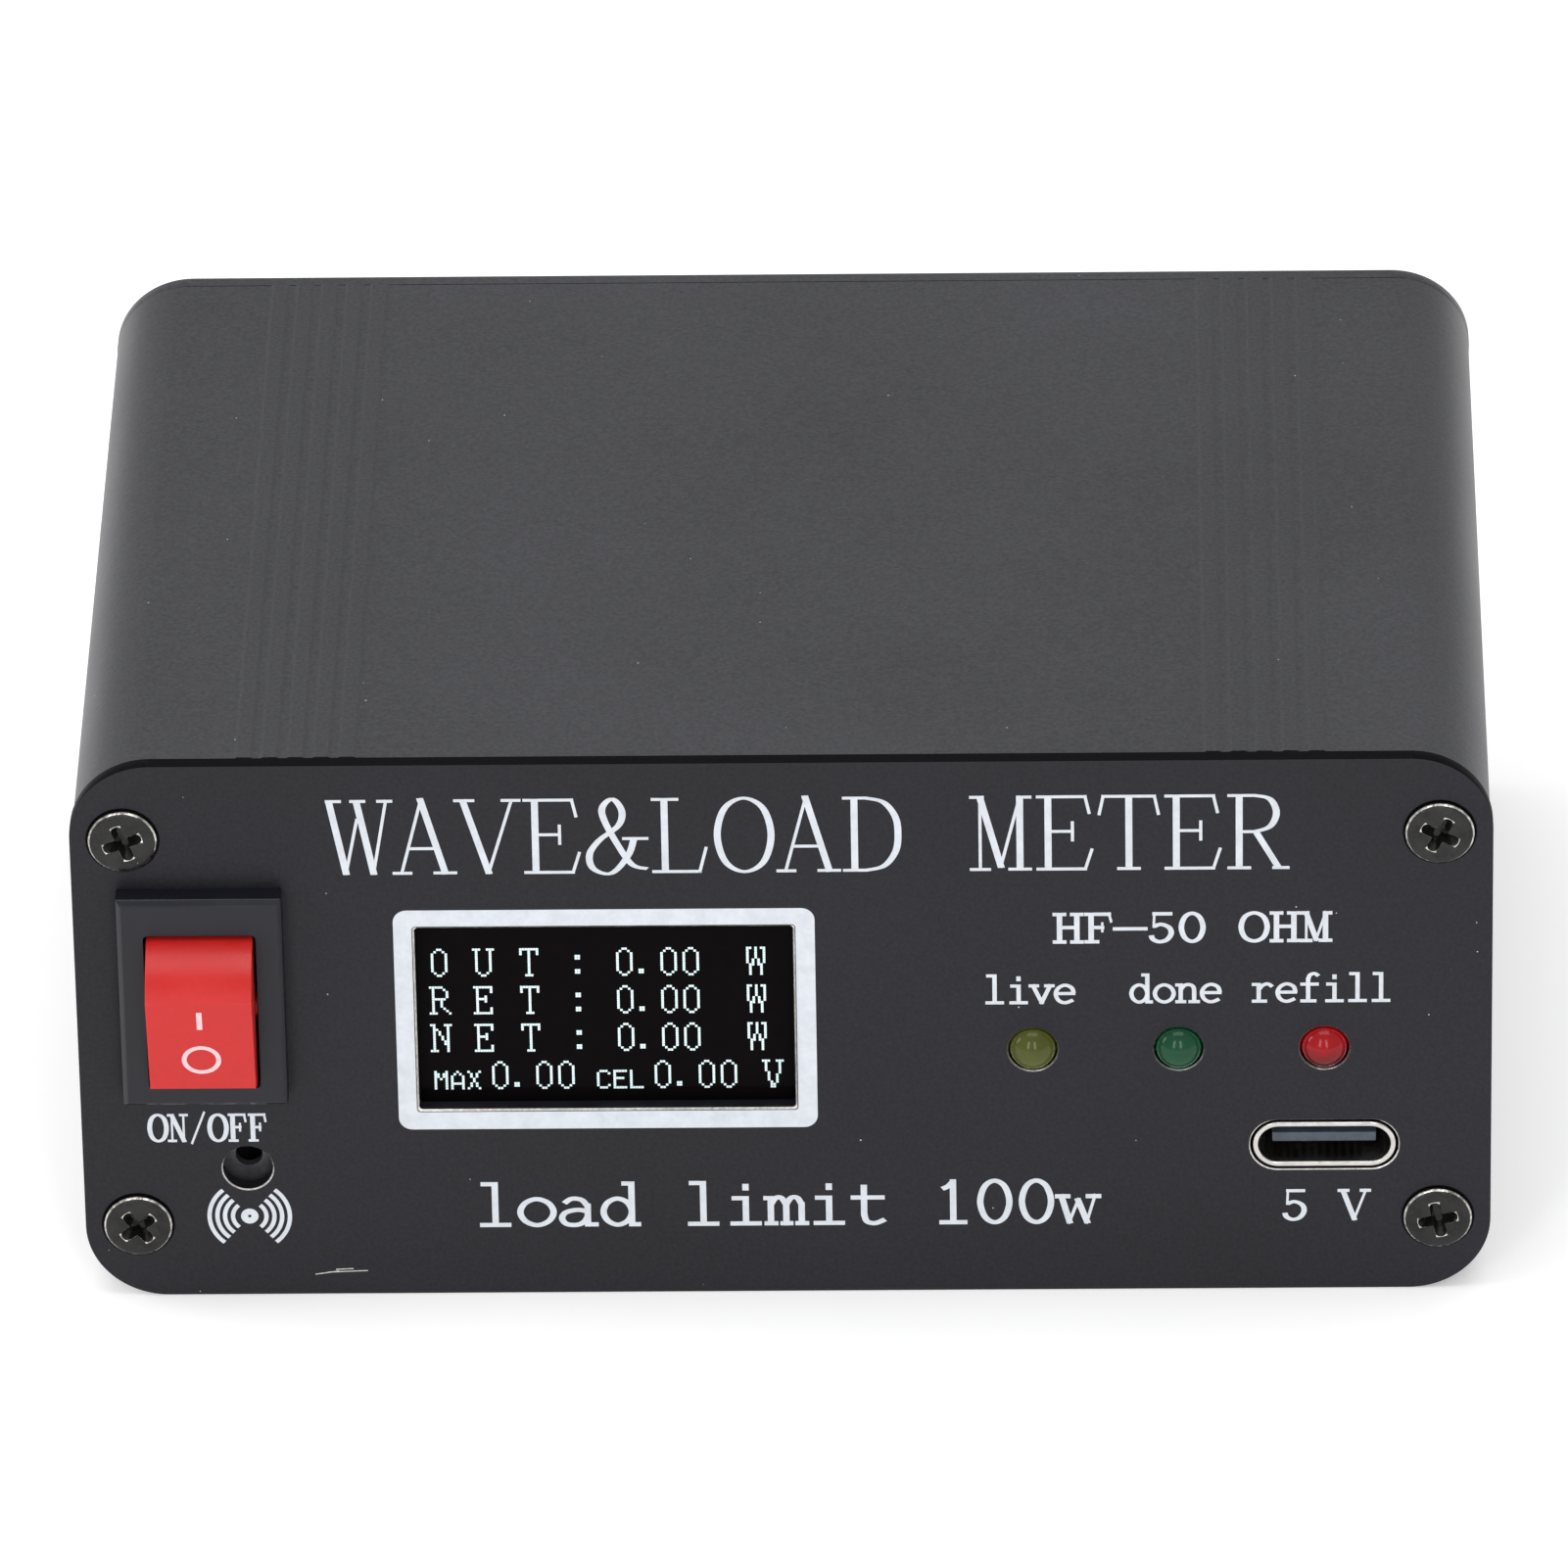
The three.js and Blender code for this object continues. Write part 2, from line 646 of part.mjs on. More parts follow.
function springShape() {
  const points = [];
  const stepsPerTurn = 8;
  const last = spring.turns * stepsPerTurn;
  for (let step = 0; step <= last; step += 1) {
    const angle = (2 * Math.PI * step) / stepsPerTurn;
    const y = spring.front + ((spring.back - spring.front) * step) / last;
    points.push([spring.meanRadius * Math.cos(angle), y, spring.meanRadius * Math.sin(angle)]);
  }
  return wire(points, spring.wireRadius, last, 4);
}

const rockerGroup = new THREE.Group();
rockerGroup.position.set(switchX, pivotY, pivotZ);
rockerGroup.rotation.x = radians(rocker.tilt);
group.add(rockerGroup);
addPiece("switch_housing", switchHousing(), finishes.blackPlastic);
addPiece("switch_rocker", rockerShape(), finishes.redPlastic, rockerGroup);
addPiece("rocker_plunger", plungerShape(), finishes.blackPlastic, rockerGroup);
addPiece("rocker_spring", springShape(), finishes.brightSteel, rockerGroup);

// The see-saw leans the other way: the plunger has pushed its upper end back.
const seesawBack = plunger.tip + seesaw.pastPlunger + seesaw.thickness;
const seesawGroup = new THREE.Group();
seesawGroup.position.set(switchX, pivotY + seesawBack, pivotZ);
seesawGroup.rotation.x = -radians(seesaw.tilt);
group.add(seesawGroup);
const seesawPlate = block(
  [-seesaw.width / 2, -seesaw.thickness, -seesaw.halfLength],
  [seesaw.width / 2, 0, seesaw.halfLength],
);
addPiece("switch_contact", seesawPlate, finishes.brass, seesawGroup);

const seesawReach = seesaw.halfLength * Math.sin(radians(seesaw.tilt));
const pivotBlade = bladeBox(0, pivotY + seesawBack + 0.15, face + switchBody.depth + blade.back);
const lowerFront = pivotY + seesawBack + seesawReach + 0.15;
const lowerBlade = bladeBox(blade.lowerZ, lowerFront, face + switchBody.depth + blade.back);
addPiece("switch_terminal_1", pivotBlade, finishes.brass);
addPiece("switch_terminal_2", lowerBlade, finishes.brass);

// ---------------------------------------------------------------- display

const gasketBack = panelBack + seatGap + display.gasketThickness;
const glassFront = gasketBack + seatGap;
const glassBack = glassFront + display.glassThickness;
const displayBoardBack = glassBack + seatGap + display.boardThickness;
const glassCentre = middle + display.glassTop - display.glassHeight / 2;
const displayBoardTop = middle + display.glassTop + display.boardAboveGlass;

function displayGasket() {
  const outline = roundedOutline(display.glassWidth, display.glassHeight, 0.5, display.glassX, glassCentre);
  const width = display.windowRight - display.windowLeft + 2 * display.gasketMargin;
  const x = (display.windowRight + display.windowLeft) / 2;
  const top = display.windowTop - display.gasketMargin;
  const bottom = display.windowBottom - display.gasketMargin;
  outline.holes.push(roundedOutline(width, top - bottom, 0.3, x, middle + (top + bottom) / 2, THREE.Path));
  return plate(outline, panelBack + seatGap, gasketBack, 2);
}

function displayGlass() {
  const outline = roundedOutline(display.glassWidth, display.glassHeight, 0.3, display.glassX, glassCentre);
  return plate(outline, glassFront, glassBack, 2);
}

function displayBoard() {
  const centre = displayBoardTop - display.boardHeight / 2;
  const outline = roundedOutline(display.boardWidth, display.boardHeight, 1, display.glassX, centre);
  const hole = { radius: 1.1, inset: 2 };
  for (const hand of [-1, 1]) {
    for (const level of [-1, 1]) {
      const x = display.glassX + hand * (display.boardWidth / 2 - hole.inset);
      const z = centre + level * (display.boardHeight / 2 - hole.inset);
      outline.holes.push(circleHole(hole.radius, x, z));
    }
  }
  return plate(outline, glassBack + seatGap, displayBoardBack, 4);
}

const headerFront = displayBoardBack + seatGap;
const headerTop = displayBoardTop - header.edge;
const displayHeader = block(
  [display.glassX - header.width / 2, headerFront, headerTop - header.height],
  [display.glassX + header.width / 2, headerFront + header.depth, headerTop],
);
addPiece("display_gasket", displayGasket(), finishes.foam);
addPiece("display_glass", displayGlass(), finishes.screenGlass);
addPiece("display_board", displayBoard(), finishes.blueBoard);
addPiece("display_header", displayHeader, finishes.blackPlastic);

// ---------------------------------------------------------------- LEDs on their board

function ledShape() {
  const front = face - led.proud;
  const equator = front + led.radius;
  const back = front + led.length;
  const flange = back - led.flangeLength;
  const steps = 4;
  const profile = [[0, front]];
  for (let step = 1; step <= steps; step += 1) {
    const angle = (Math.PI / 2) * (step / steps);
    profile.push([led.radius * Math.sin(angle), equator - led.radius * Math.cos(angle)]);
  }
  profile.push([led.radius, flange], [led.flangeRadius, flange], [led.flangeRadius, back], [0, back]);
  return turned(profile, 16);
}

led.names.forEach((name, index) => {
  const finish = { color: led.colours[index], roughness: 0.15, metalness: 0 };
  addPiece(name, ledShape().translate(ledX[index], 0, middle + led.z), finish);
});

const ledBoardBox = block(
  [ledX[0] - ledBoard.margin, ledBoardFront, middle + led.z - ledBoard.height / 2],
  [ledX[ledX.length - 1] + ledBoard.margin, ledBoardBack, middle + led.z + ledBoard.height / 2],
);
addPiece("led_board", ledBoardBox, finishes.greenBoard);

// ---------------------------------------------------------------- charging socket and its board

const chargerTop = usbZ - usb.height / 2 - seatGap;

function usbShell() {
  const outer = roundedOutline(usb.width, usb.height, endRadius(usb.height), usbX, usbZ);
  const [width, height] = [usb.width - 2 * usb.wall, usb.height - 2 * usb.wall];
  const inner = roundedOutline(width, height, endRadius(height), usbX, usbZ);
  const mouth = plate(inner, face - 1, face + usb.length - usb.backWall);
  return cut(plate(outer, face, face + usb.length), mouth);
}

const usbTongue = block(
  [usbX - usb.tongueWidth / 2, face + usb.tongueSetback, usbZ - usb.tongueThickness / 2],
  [usbX + usb.tongueWidth / 2, face + usb.length - usb.backWall - seatGap, usbZ + usb.tongueThickness / 2],
);
const chargerFront = panelBack + seatGap + runningGap;
const chargerBoard = block(
  [usbX - charger.width / 2, chargerFront, chargerTop - board.thickness],
  [usbX + charger.width / 2, chargerFront + charger.length, chargerTop],
);
const chipFront = face + usb.length + 1;
const chargerChip = block(
  [usbX - charger.chipWidth / 2, chipFront, chargerTop + seatGap],
  [usbX + charger.chipWidth / 2, chipFront + charger.chipLength, chargerTop + seatGap + charger.chipHeight],
);
const chargerHeader = block(
  [usbX - charger.width / 2, panelBack + charger.headerSetback, chargerTop + seatGap],
  [usbX + charger.width / 2, panelBack + charger.headerSetback + header.depth, boardUnderside - seatGap],
);
addPiece("usb_shell", usbShell(), finishes.brightSteel);
addPiece("usb_tongue", usbTongue, finishes.blueTongue);
addPiece("charger_board", chargerBoard, finishes.greenBoard);
addPiece("charger_chip", chargerChip, finishes.blackPlastic);
addPiece("charger_header", chargerHeader, finishes.blackPlastic);

// ---------------------------------------------------------------- sounder behind its hole

const sounderFront = face + sounder.setback;
const sounderBack = sounderFront + sounder.length;
const sounderProfile = [
  [sounder.soundHole, sounderFront],
  [sounder.radius - 0.3, sounderFront],
  [sounder.radius, sounderFront + 0.3],
  [sounder.radius, sounderBack],
  [sounder.radius - sounder.wall, sounderBack],
  [sounder.radius - sounder.wall, sounderFront + sounder.wall],
  [sounder.soundHole, sounderFront + sounder.wall],
  [sounder.soundHole, sounderFront],
];
const sounderPlace = [sounderX, 0, middle + sounder.z];
const sounderBaseFront = sounderBack + seatGap;
const sounderBase = rod(sounder.radius, sounderBaseFront, sounderBaseFront + sounder.baseLength, 20);
addPiece("sounder_case", turned(sounderProfile, 20).translate(...sounderPlace), finishes.blackPlastic);
addPiece("sounder_base", sounderBase.translate(...sounderPlace), finishes.greenBoard);

// ---------------------------------------------------------------- main board and what is on it

const boardHalfWidth = shellHalfWidth - shell.wall - runningGap;
const mainBoard = block([-boardHalfWidth, boardFront, boardUnderside], [boardHalfWidth, boardBack, boardTop]);
addPiece("main_board", mainBoard, finishes.greenBoard);

const onBoard = boardTop + seatGap;
const chipOutline = roundedOutline(chip.side, chip.side, chip.corner, chip.x, chip.y);
addPiece("microcontroller", slab(chipOutline, onBoard, onBoard + chip.height, 1), finishes.blackPlastic);
const crystalEnds = endRadius(crystal.width);
const crystalOutline = roundedOutline(crystal.length, crystal.width, crystalEnds, crystal.x, crystal.y);
addPiece("crystal", slab(crystalOutline, onBoard, onBoard + crystal.height), finishes.brightSteel);

// An electrolytic capacitor's can, with the crimp above its base.
const canProfile = [
  [0, 0],
  [can.radius - 0.2, 0],
  [can.radius, 0.4],
  [can.radius, 1.2],
  [can.radius - can.crimp, 1.7],
  [can.radius, 2.2],
  [can.radius, can.height - 0.4],
  [can.radius - 0.4, can.height],
  [0, can.height],
];
const canShape = turned(canProfile, 16).rotateX(Math.PI / 2).translate(can.x, can.y, onBoard);
addPiece("capacitor", canShape, finishes.blueFoil);

// ---------------------------------------------------------------- directional coupler

const lineZ = middle + socket.z;
const cupEnd = rearPanelFront - socket.cupReach;
const lineY = cupEnd - line.beforeCups;

function coreShape() {
  const { meanRadius, halfDepth, halfWidth, chamfer } = core;
  const [inner, outer] = [meanRadius - halfDepth, meanRadius + halfDepth];
  const profile = [
    [inner + chamfer, -halfWidth],
    [outer - chamfer, -halfWidth],
    [outer, -halfWidth + chamfer],
    [outer, halfWidth - chamfer],
    [outer - chamfer, halfWidth],
    [inner + chamfer, halfWidth],
    [inner, halfWidth - chamfer],
    [inner, -halfWidth + chamfer],
    [inner + chamfer, -halfWidth],
  ];
  return turned(profile, 16).rotateZ(Math.PI / 2);
}

// A wire wound round the ring core, whose axis is along X.
function windingShape() {
  const points = [];
  const last = winding.turns * 8;
  for (let step = 0; step <= last; step += 1) {
    const around = radians(winding.spread) * (step / last);
    const turn = (2 * Math.PI * winding.turns * step) / last;
    const radius = core.meanRadius + (core.halfDepth + winding.overDepth) * Math.cos(turn);
    const x = (core.halfWidth + winding.overWidth) * Math.sin(turn);
    points.push([x, radius * Math.cos(around), radius * Math.sin(around)]);
  }
  return wire(points, winding.wireRadius, last, 4);
}

[-core.x, core.x].forEach((x, index) => {
  addPiece(`coupler_core_${index + 1}`, coreShape().translate(x, lineY, lineZ), finishes.ferrite);
  addPiece(`coupler_winding_${index + 1}`, windingShape().translate(x, lineY, lineZ), finishes.copper);
});

function throughLine() {
  const reach = socket.spacing / 2;
  const end = cupEnd - lead.gap;
  const left = [
    [-reach, end, lineZ],
    [-reach, lineY + line.bend, lineZ],
    [-reach + 0.3 * line.bend, lineY + 0.3 * line.bend, lineZ],
    [-reach + line.bend, lineY, lineZ],
    [-core.x - 5, lineY, lineZ],
    [-core.x + 5, lineY, lineZ],
  ];
  const right = left.map(([x, y, z]) => [-x, y, z]).reverse();
  return wire([...left, ...right], line.radius, 30, 6);
}
addPiece("through_line", throughLine(), finishes.brass);

// ---------------------------------------------------------------- battery

const batteryLeft = battery.x - battery.width / 2;
const batteryRight = battery.x + battery.width / 2;
const batteryFront = panelBack + battery.setback;
const batteryBack = batteryFront + battery.length;
const padLow = shell.wall + seatGap;
const cellLow = padLow + battery.padThickness + seatGap;
const pad = block(
  [batteryLeft + battery.padInset, batteryFront + battery.padInset, padLow],
  [batteryRight - battery.padInset, batteryBack - battery.padInset, padLow + battery.padThickness],
);
const cellMiddle = cellLow + battery.thickness / 2;
const cellEnds = endRadius(battery.thickness);
const cell = roundedOutline(battery.width, battery.thickness, cellEnds, battery.x, cellMiddle);
addPiece("battery_pad", pad, finishes.foam);
addPiece("battery_cell", plate(cell, batteryFront, batteryBack, 2), finishes.silverFoil);

// ---------------------------------------------------------------- leads held inside the case

const onCharger = chargerTop + lead.radius + lead.gap;
[["battery_lead_red", 2, finishes.redWire], ["battery_lead_black", 0, finishes.blackWire]].forEach(
  ([name, shift, finish]) => {
    const startY = batteryFront + 11 - shift;
    const points = [
      [batteryRight + lead.gap, startY, cellMiddle],
      [batteryRight + 4 - shift, startY, cellMiddle],
      [usbX - 10 - shift, startY - 1, onCharger - 1.5],
      [usbX - 6.5 - shift, startY - 8.5, onCharger + 1],
      [usbX - 3.6, startY - 9.5, onCharger],
    ];
    addPiece(name, wire(points, lead.radius, 16, 6), finish);
  },
);

[["switch_lead_red", 0, finishes.redWire], ["switch_lead_black", blade.lowerZ, finishes.blackWire]].forEach(
  ([name, below, finish], index) => {
    const start = face + switchBody.depth + blade.back + lead.gap;
    const startZ = pivotZ + below;
    const onTop = boardTop + lead.radius + lead.gap;
    const side = switchX + 4 * index;
    const points = [
      [switchX, start, startZ],
      [switchX, start + 1.5, startZ],
      [side, start + 4, (startZ + onTop) / 2],
      [side, start + 5.5, onTop + 0.4],
      [side, start + 7.5, onTop],
    ];
    addPiece(name, wire(points, lead.radius, 16, 6), finish);
  },
);

function displayRibbon() {
  const section = new THREE.Shape([
    new THREE.Vector2(-5, -0.5),
    new THREE.Vector2(5, -0.5),
    new THREE.Vector2(5, 0.5),
    new THREE.Vector2(-5, 0.5),
  ]);
  const x = display.glassX;
  const top = headerTop - header.height - lead.gap;
  const path = new THREE.CatmullRomCurve3([
    new THREE.Vector3(x, headerFront + header.depth / 2, top),
    new THREE.Vector3(x, headerFront + 2, top - 4),
    new THREE.Vector3(x, boardFront + 4.5, boardTop + 6),
    new THREE.Vector3(x, boardFront + 6, boardTop + 2),
    new THREE.Vector3(x, boardFront + 6.3, boardTop + lead.gap),
  ]);
  return new THREE.ExtrudeGeometry(section, { steps: 12, extrudePath: path });
}
addPiece("display_ribbon", displayRibbon(), finishes.redWire);

// ---------------------------------------------------------------- coaxial sockets in the rear panel

const flangeFront = rearFace + seatGap;
const barrelFront = flangeFront + socket.flangeThickness;
const barrelEnd = barrelFront + socket.threadLength;

function socketBody() {
  const start = rearFace - socket.mountLength;
  const chamfer = 0.5;
  const profile = [
    [socket.boreRadius, start],
    [socket.mountRadius, start],
    [socket.mountRadius, flangeFront],
    [socket.flangeRadius, flangeFront],
    [socket.flangeRadius, barrelFront - chamfer],
    [socket.flangeRadius - chamfer, barrelFront],
    [socket.threadRadius, barrelFront],
    [socket.threadRadius, barrelEnd - chamfer],
    [socket.threadRadius - chamfer, barrelEnd],
    [socket.boreRadius, barrelEnd],
    [socket.boreRadius, start],
  ];
  const half = socket.notchWidth / 2;
  const [low, high] = [barrelEnd - socket.notchDepth, barrelEnd + 1];
  const reach = socket.threadRadius + 1;
  const notches = [
    block([-reach, low, -half], [reach, high, half]),
    block([-half, low, -reach], [half, high, reach]),
  ];
  return cut(turned(profile, 28), ...notches);
}

const insulatorStart = rearFace - socket.mountLength + 0.5;
const insulatorEnd = barrelEnd - socket.insulatorSetback - socket.notchDepth;
const contactEnd = insulatorEnd - 0.4;

function socketContact() {
  const cupFront = insulatorStart - 1;
  const profile = [
    [0, cupEnd + socket.cupDepth],
    [socket.cupBore, cupEnd + socket.cupDepth],
    [socket.cupBore, cupEnd],
    [socket.cupRadius, cupEnd],
    [socket.cupRadius, cupFront],
    [socket.contactRadius, cupFront],
    [socket.contactRadius, contactEnd],
    [socket.contactBore, contactEnd],
    [socket.contactBore, contactEnd - socket.contactBoreDepth],
    [0, contactEnd - socket.contactBoreDepth],
  ];
  return turned(profile, 16);
}

function hexNut() {
  const corner = socket.nutAcrossFlats / 2 / Math.cos(Math.PI / 6);
  const points = [];
  for (let index = 0; index < 6; index += 1) {
    const angle = (index * Math.PI) / 3;
    points.push(new THREE.Vector2(corner * Math.cos(angle), corner * Math.sin(angle)));
  }
  const outline = new THREE.Shape(points);
  outline.holes.push(circleHole(socket.mountRadius + runningGap, 0, 0));
  const back = washerFront - seatGap;
  return plate(outline, back - socket.nutThickness, back, 4);
}

const washerBack = rearPanelFront - seatGap;
const washerFront = washerBack - socket.washerThickness;

socketPlaces.forEach((x, index) => {
  const place = [x, 0, lineZ];
  const [inner, outer] = [socket.contactRadius + seatGap, socket.boreRadius - seatGap];
  const insulator = ring(inner, outer, insulatorStart, insulatorEnd);
  const washer = ring(socket.mountRadius + runningGap, socket.washerRadius, washerFront, washerBack);
  const name = `socket_${index + 1}`;
  addPiece(`${name}_body`, socketBody().translate(...place), finishes.nickel);
  addPiece(`${name}_insulator`, insulator.translate(...place), finishes.whiteInsulator);
  addPiece(`${name}_contact`, socketContact().translate(...place), finishes.brass);
  addPiece(`${name}_washer`, washer.translate(...place), finishes.nickel);
  addPiece(`${name}_nut`, hexNut().translate(...place), finishes.nickel);
});

export default group;
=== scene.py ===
import json
import math

import bmesh
import bpy
from mathutils import Matrix, Vector


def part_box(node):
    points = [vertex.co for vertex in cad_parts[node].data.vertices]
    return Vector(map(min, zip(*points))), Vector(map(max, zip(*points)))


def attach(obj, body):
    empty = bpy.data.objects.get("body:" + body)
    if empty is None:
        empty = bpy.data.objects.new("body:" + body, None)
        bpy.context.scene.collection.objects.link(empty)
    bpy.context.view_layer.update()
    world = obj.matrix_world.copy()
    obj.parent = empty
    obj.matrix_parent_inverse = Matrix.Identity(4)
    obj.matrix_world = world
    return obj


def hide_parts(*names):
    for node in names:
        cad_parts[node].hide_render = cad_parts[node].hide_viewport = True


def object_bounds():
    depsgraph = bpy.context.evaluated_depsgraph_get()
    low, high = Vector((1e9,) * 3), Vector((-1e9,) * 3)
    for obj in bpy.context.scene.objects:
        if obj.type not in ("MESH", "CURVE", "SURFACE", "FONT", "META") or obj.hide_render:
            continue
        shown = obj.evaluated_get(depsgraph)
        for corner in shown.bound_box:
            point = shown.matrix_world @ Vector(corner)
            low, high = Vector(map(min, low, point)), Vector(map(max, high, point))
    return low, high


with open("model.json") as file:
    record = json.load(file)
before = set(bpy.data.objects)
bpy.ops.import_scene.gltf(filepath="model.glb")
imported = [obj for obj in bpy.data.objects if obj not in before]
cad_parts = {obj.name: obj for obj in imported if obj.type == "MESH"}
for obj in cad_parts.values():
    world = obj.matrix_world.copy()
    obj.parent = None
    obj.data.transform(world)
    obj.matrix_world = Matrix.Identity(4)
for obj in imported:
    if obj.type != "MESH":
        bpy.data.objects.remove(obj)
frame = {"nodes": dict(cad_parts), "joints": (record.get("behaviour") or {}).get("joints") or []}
cad_low, cad_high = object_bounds()

MM = 0.001
scene = bpy.context.scene

# ---------------------------------------------------------------------------------------------------------
# The camera stands in front of the meter and looks down on it through a long lens. The meter stands on a
# plain white table under soft boxes: two narrow ones in front, a wide one above and one at its left.

panel_low, panel_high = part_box("front_panel")
camera_turn = math.radians(1.245)
camera_rise = math.radians(30.909)
camera_roll = math.radians(-1.022)
camera_distance = 1.0223
camera_aim = Vector((0.26 * MM, panel_low.y, panel_high.z - 1.51 * MM))


def way_to(turn, rise):
    """The direction from the meter towards something at an azimuth and an elevation, in radians."""
    flat = math.cos(rise)
    return Vector((math.sin(turn) * flat, -math.cos(turn) * flat, math.sin(rise)))


camera_back = way_to(camera_turn, camera_rise)
level_right = (-camera_back).cross(Vector((0, 0, 1))).normalized()
level_up = level_right.cross(-camera_back)
camera_right = level_right * math.cos(camera_roll) + level_up * math.sin(camera_roll)
camera_up = level_up * math.cos(camera_roll) - level_right * math.sin(camera_roll)
camera = bpy.data.objects.new("camera", bpy.data.cameras.new("camera"))
camera.data.sensor_width = 36
camera.data.lens = 380.7
camera.data.clip_start = 0.05
camera.data.clip_end = 20
camera.matrix_world = Matrix.Translation(camera_aim + camera_back * camera_distance) @ Matrix(
    (camera_right, camera_up, camera_back)
).transposed().to_4x4()
scene.collection.objects.link(camera)
scene.camera = camera
scene.view_settings.view_transform = "Standard"


def soft_box(name, turn, rise, distance, width, height, power):
    """A rectangular soft box that shines on the meter's middle. Angles are in degrees."""
    light = bpy.data.lights.new(name, "AREA")
    light.shape = "RECTANGLE"
    light.size = width
    light.size_y = height
    light.energy = power
    lamp = bpy.data.objects.new(name, light)
    away = way_to(math.radians(turn), math.radians(rise))
    middle = (cad_low + cad_high) / 2
    turned_to = away.to_track_quat("Z", "Y").to_matrix().to_4x4()
    lamp.matrix_world = Matrix.Translation(middle + away * distance) @ turned_to
    scene.collection.objects.link(lamp)


soft_box("front_strip_left", -21, 25, 1.0, 0.15, 0.6, 1.7)
soft_box("front_strip_right", 12, 25, 1.0, 0.15, 0.6, 1.7)
soft_box("top_box", 0, 88, 1.1, 0.9, 0.7, 4.6)
soft_box("left_box", -95, 22, 0.9, 0.5, 0.4, 2.8)

world = bpy.data.worlds.new("studio")
scene.world = world
world.use_nodes = True
world.node_tree.nodes["Background"].inputs["Color"].default_value = (1, 1, 1, 1)
world.node_tree.nodes["Background"].inputs["Strength"].default_value = 0.62


def shader_node(tree, kind, inputs=None, **settings):
    """Adds one shader node, sets it, and fills or links its inputs."""
    made = tree.nodes.new("ShaderNode" + kind)
    for name, value in settings.items():
        setattr(made, name, value)
    for key, value in (inputs or {}).items():
        if isinstance(value, bpy.types.NodeSocket):
            tree.links.new(value, made.inputs[key])
        else:
            made.inputs[key].default_value = value
    return made


floor_shape = bmesh.new()
bmesh.ops.create_grid(floor_shape, x_segments=1, y_segments=1, size=6)
bmesh.ops.translate(floor_shape, vec=(0, 0, cad_low.z - 0.05 * MM), verts=floor_shape.verts)
floor_mesh = bpy.data.meshes.new("table_top")
floor_shape.to_mesh(floor_mesh)
floor_shape.free()
table_top = bpy.data.objects.new("table_top", floor_mesh)
scene.collection.objects.link(table_top)
table_white = bpy.data.materials.new("table_white")
table_white.use_nodes = True
table_tree = table_white.node_tree
table_paint = table_tree.nodes["Principled BSDF"]
table_paint.inputs["Base Color"].default_value = (0.9, 0.9, 0.9, 1)
table_paint.inputs["Roughness"].default_value = 0.8
table_paint.inputs["Specular IOR Level"].default_value = 0.1
table_paint.inputs["Emission Color"].default_value = (1, 1, 1, 1)
table_paint.inputs["Emission Strength"].default_value = 0.25
underneath = shader_node(table_tree, "NewGeometry").outputs["Backfacing"]
see_through = shader_node(table_tree, "BsdfTransparent")
sides = {0: underneath, 1: table_paint.outputs[0], 2: see_through.outputs[0]}
one_sided = shader_node(table_tree, "MixShader", sides)
table_tree.links.new(one_sided.outputs[0], table_tree.nodes["Material Output"].inputs["Surface"])
floor_mesh.materials.append(table_white)

# ---------------------------------------------------------------------------------------------------------
# The case is two halves of one aluminium extrusion, black anodised over a fine blasted grain. Each half is a
# channel with a ledge for the board and two screw channels; five fine ribs run along each side of the top.

shell_low, shell_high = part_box("bottom_shell")
half_width = shell_high.x
seam = (panel_low.z + panel_high.z) / 2
seam_gap = 0.05 * MM
front_end = shell_low.y + 0.1 * MM
rear_end = shell_high.y - 0.01 * MM
wall = 1.5 * MM
top_inset = 0.15 * MM  # from the panels' top edge down to the top shell, without its ribs
corner_from_panel = 4.78 * MM
corner = panel_high.x - half_width + corner_from_panel
rib_height = 0.11 * MM
rib_pitch = 1.6 * MM
rib_middle = 29.9 * MM
rib_top = 0.8 * MM
rib_base = 1.25 * MM
groove_width = 0.35 * MM
ledge_reach = 1.5 * MM
ledge_height = 1.0 * MM
ledge_below_seam = 6.25 * MM
screw_x = panel_high.x - 3.3 * MM
screw_rise = seam - 5.25 * MM - panel_low.z  # from the seam to each screw
channel_radius = 2.6 * MM
channel_bore = 1.3 * MM


def grain_group():
    """Fine grain, broad cloudy patches and the height of both, over the object's own coordinates."""
    tree = bpy.data.node_groups.new("fine_grain", "ShaderNodeTree")
    for name, value in (("Grain Scale", 6000.0), ("Patch Scale", 60.0), ("Patch Share", 0.4)):
        socket = tree.interface.new_socket(name, in_out="INPUT", socket_type="NodeSocketFloat")
        socket.default_value = value
    for name in ("Tone", "Height", "Patch"):
        tree.interface.new_socket(name, in_out="OUTPUT", socket_type="NodeSocketFloat")
    given = tree.nodes.new("NodeGroupInput").outputs
    result = tree.nodes.new("NodeGroupOutput").inputs
    place = shader_node(tree, "TexCoord").outputs["Object"]
    grain = shader_node(tree, "TexNoise", {"Vector": place, "Scale": given["Grain Scale"], "Detail": 2.0})
    patch = shader_node(tree, "TexNoise", {"Vector": place, "Scale": given["Patch Scale"], "Detail": 4.0})
    tone = shader_node(tree, "Mix", {0: given["Patch Share"], 2: grain.outputs["Fac"], 3: patch.outputs["Fac"]})
    spread = shader_node(tree, "MapRange", {0: tone.outputs[0], 1: 0.32, 2: 0.68, 3: 0.0, 4: 1.0}, clamp=True)
    tree.links.new(spread.outputs[0], result["Tone"])
    tree.links.new(grain.outputs["Fac"], result["Height"])
    tree.links.new(patch.outputs["Fac"], result["Patch"])
    return tree


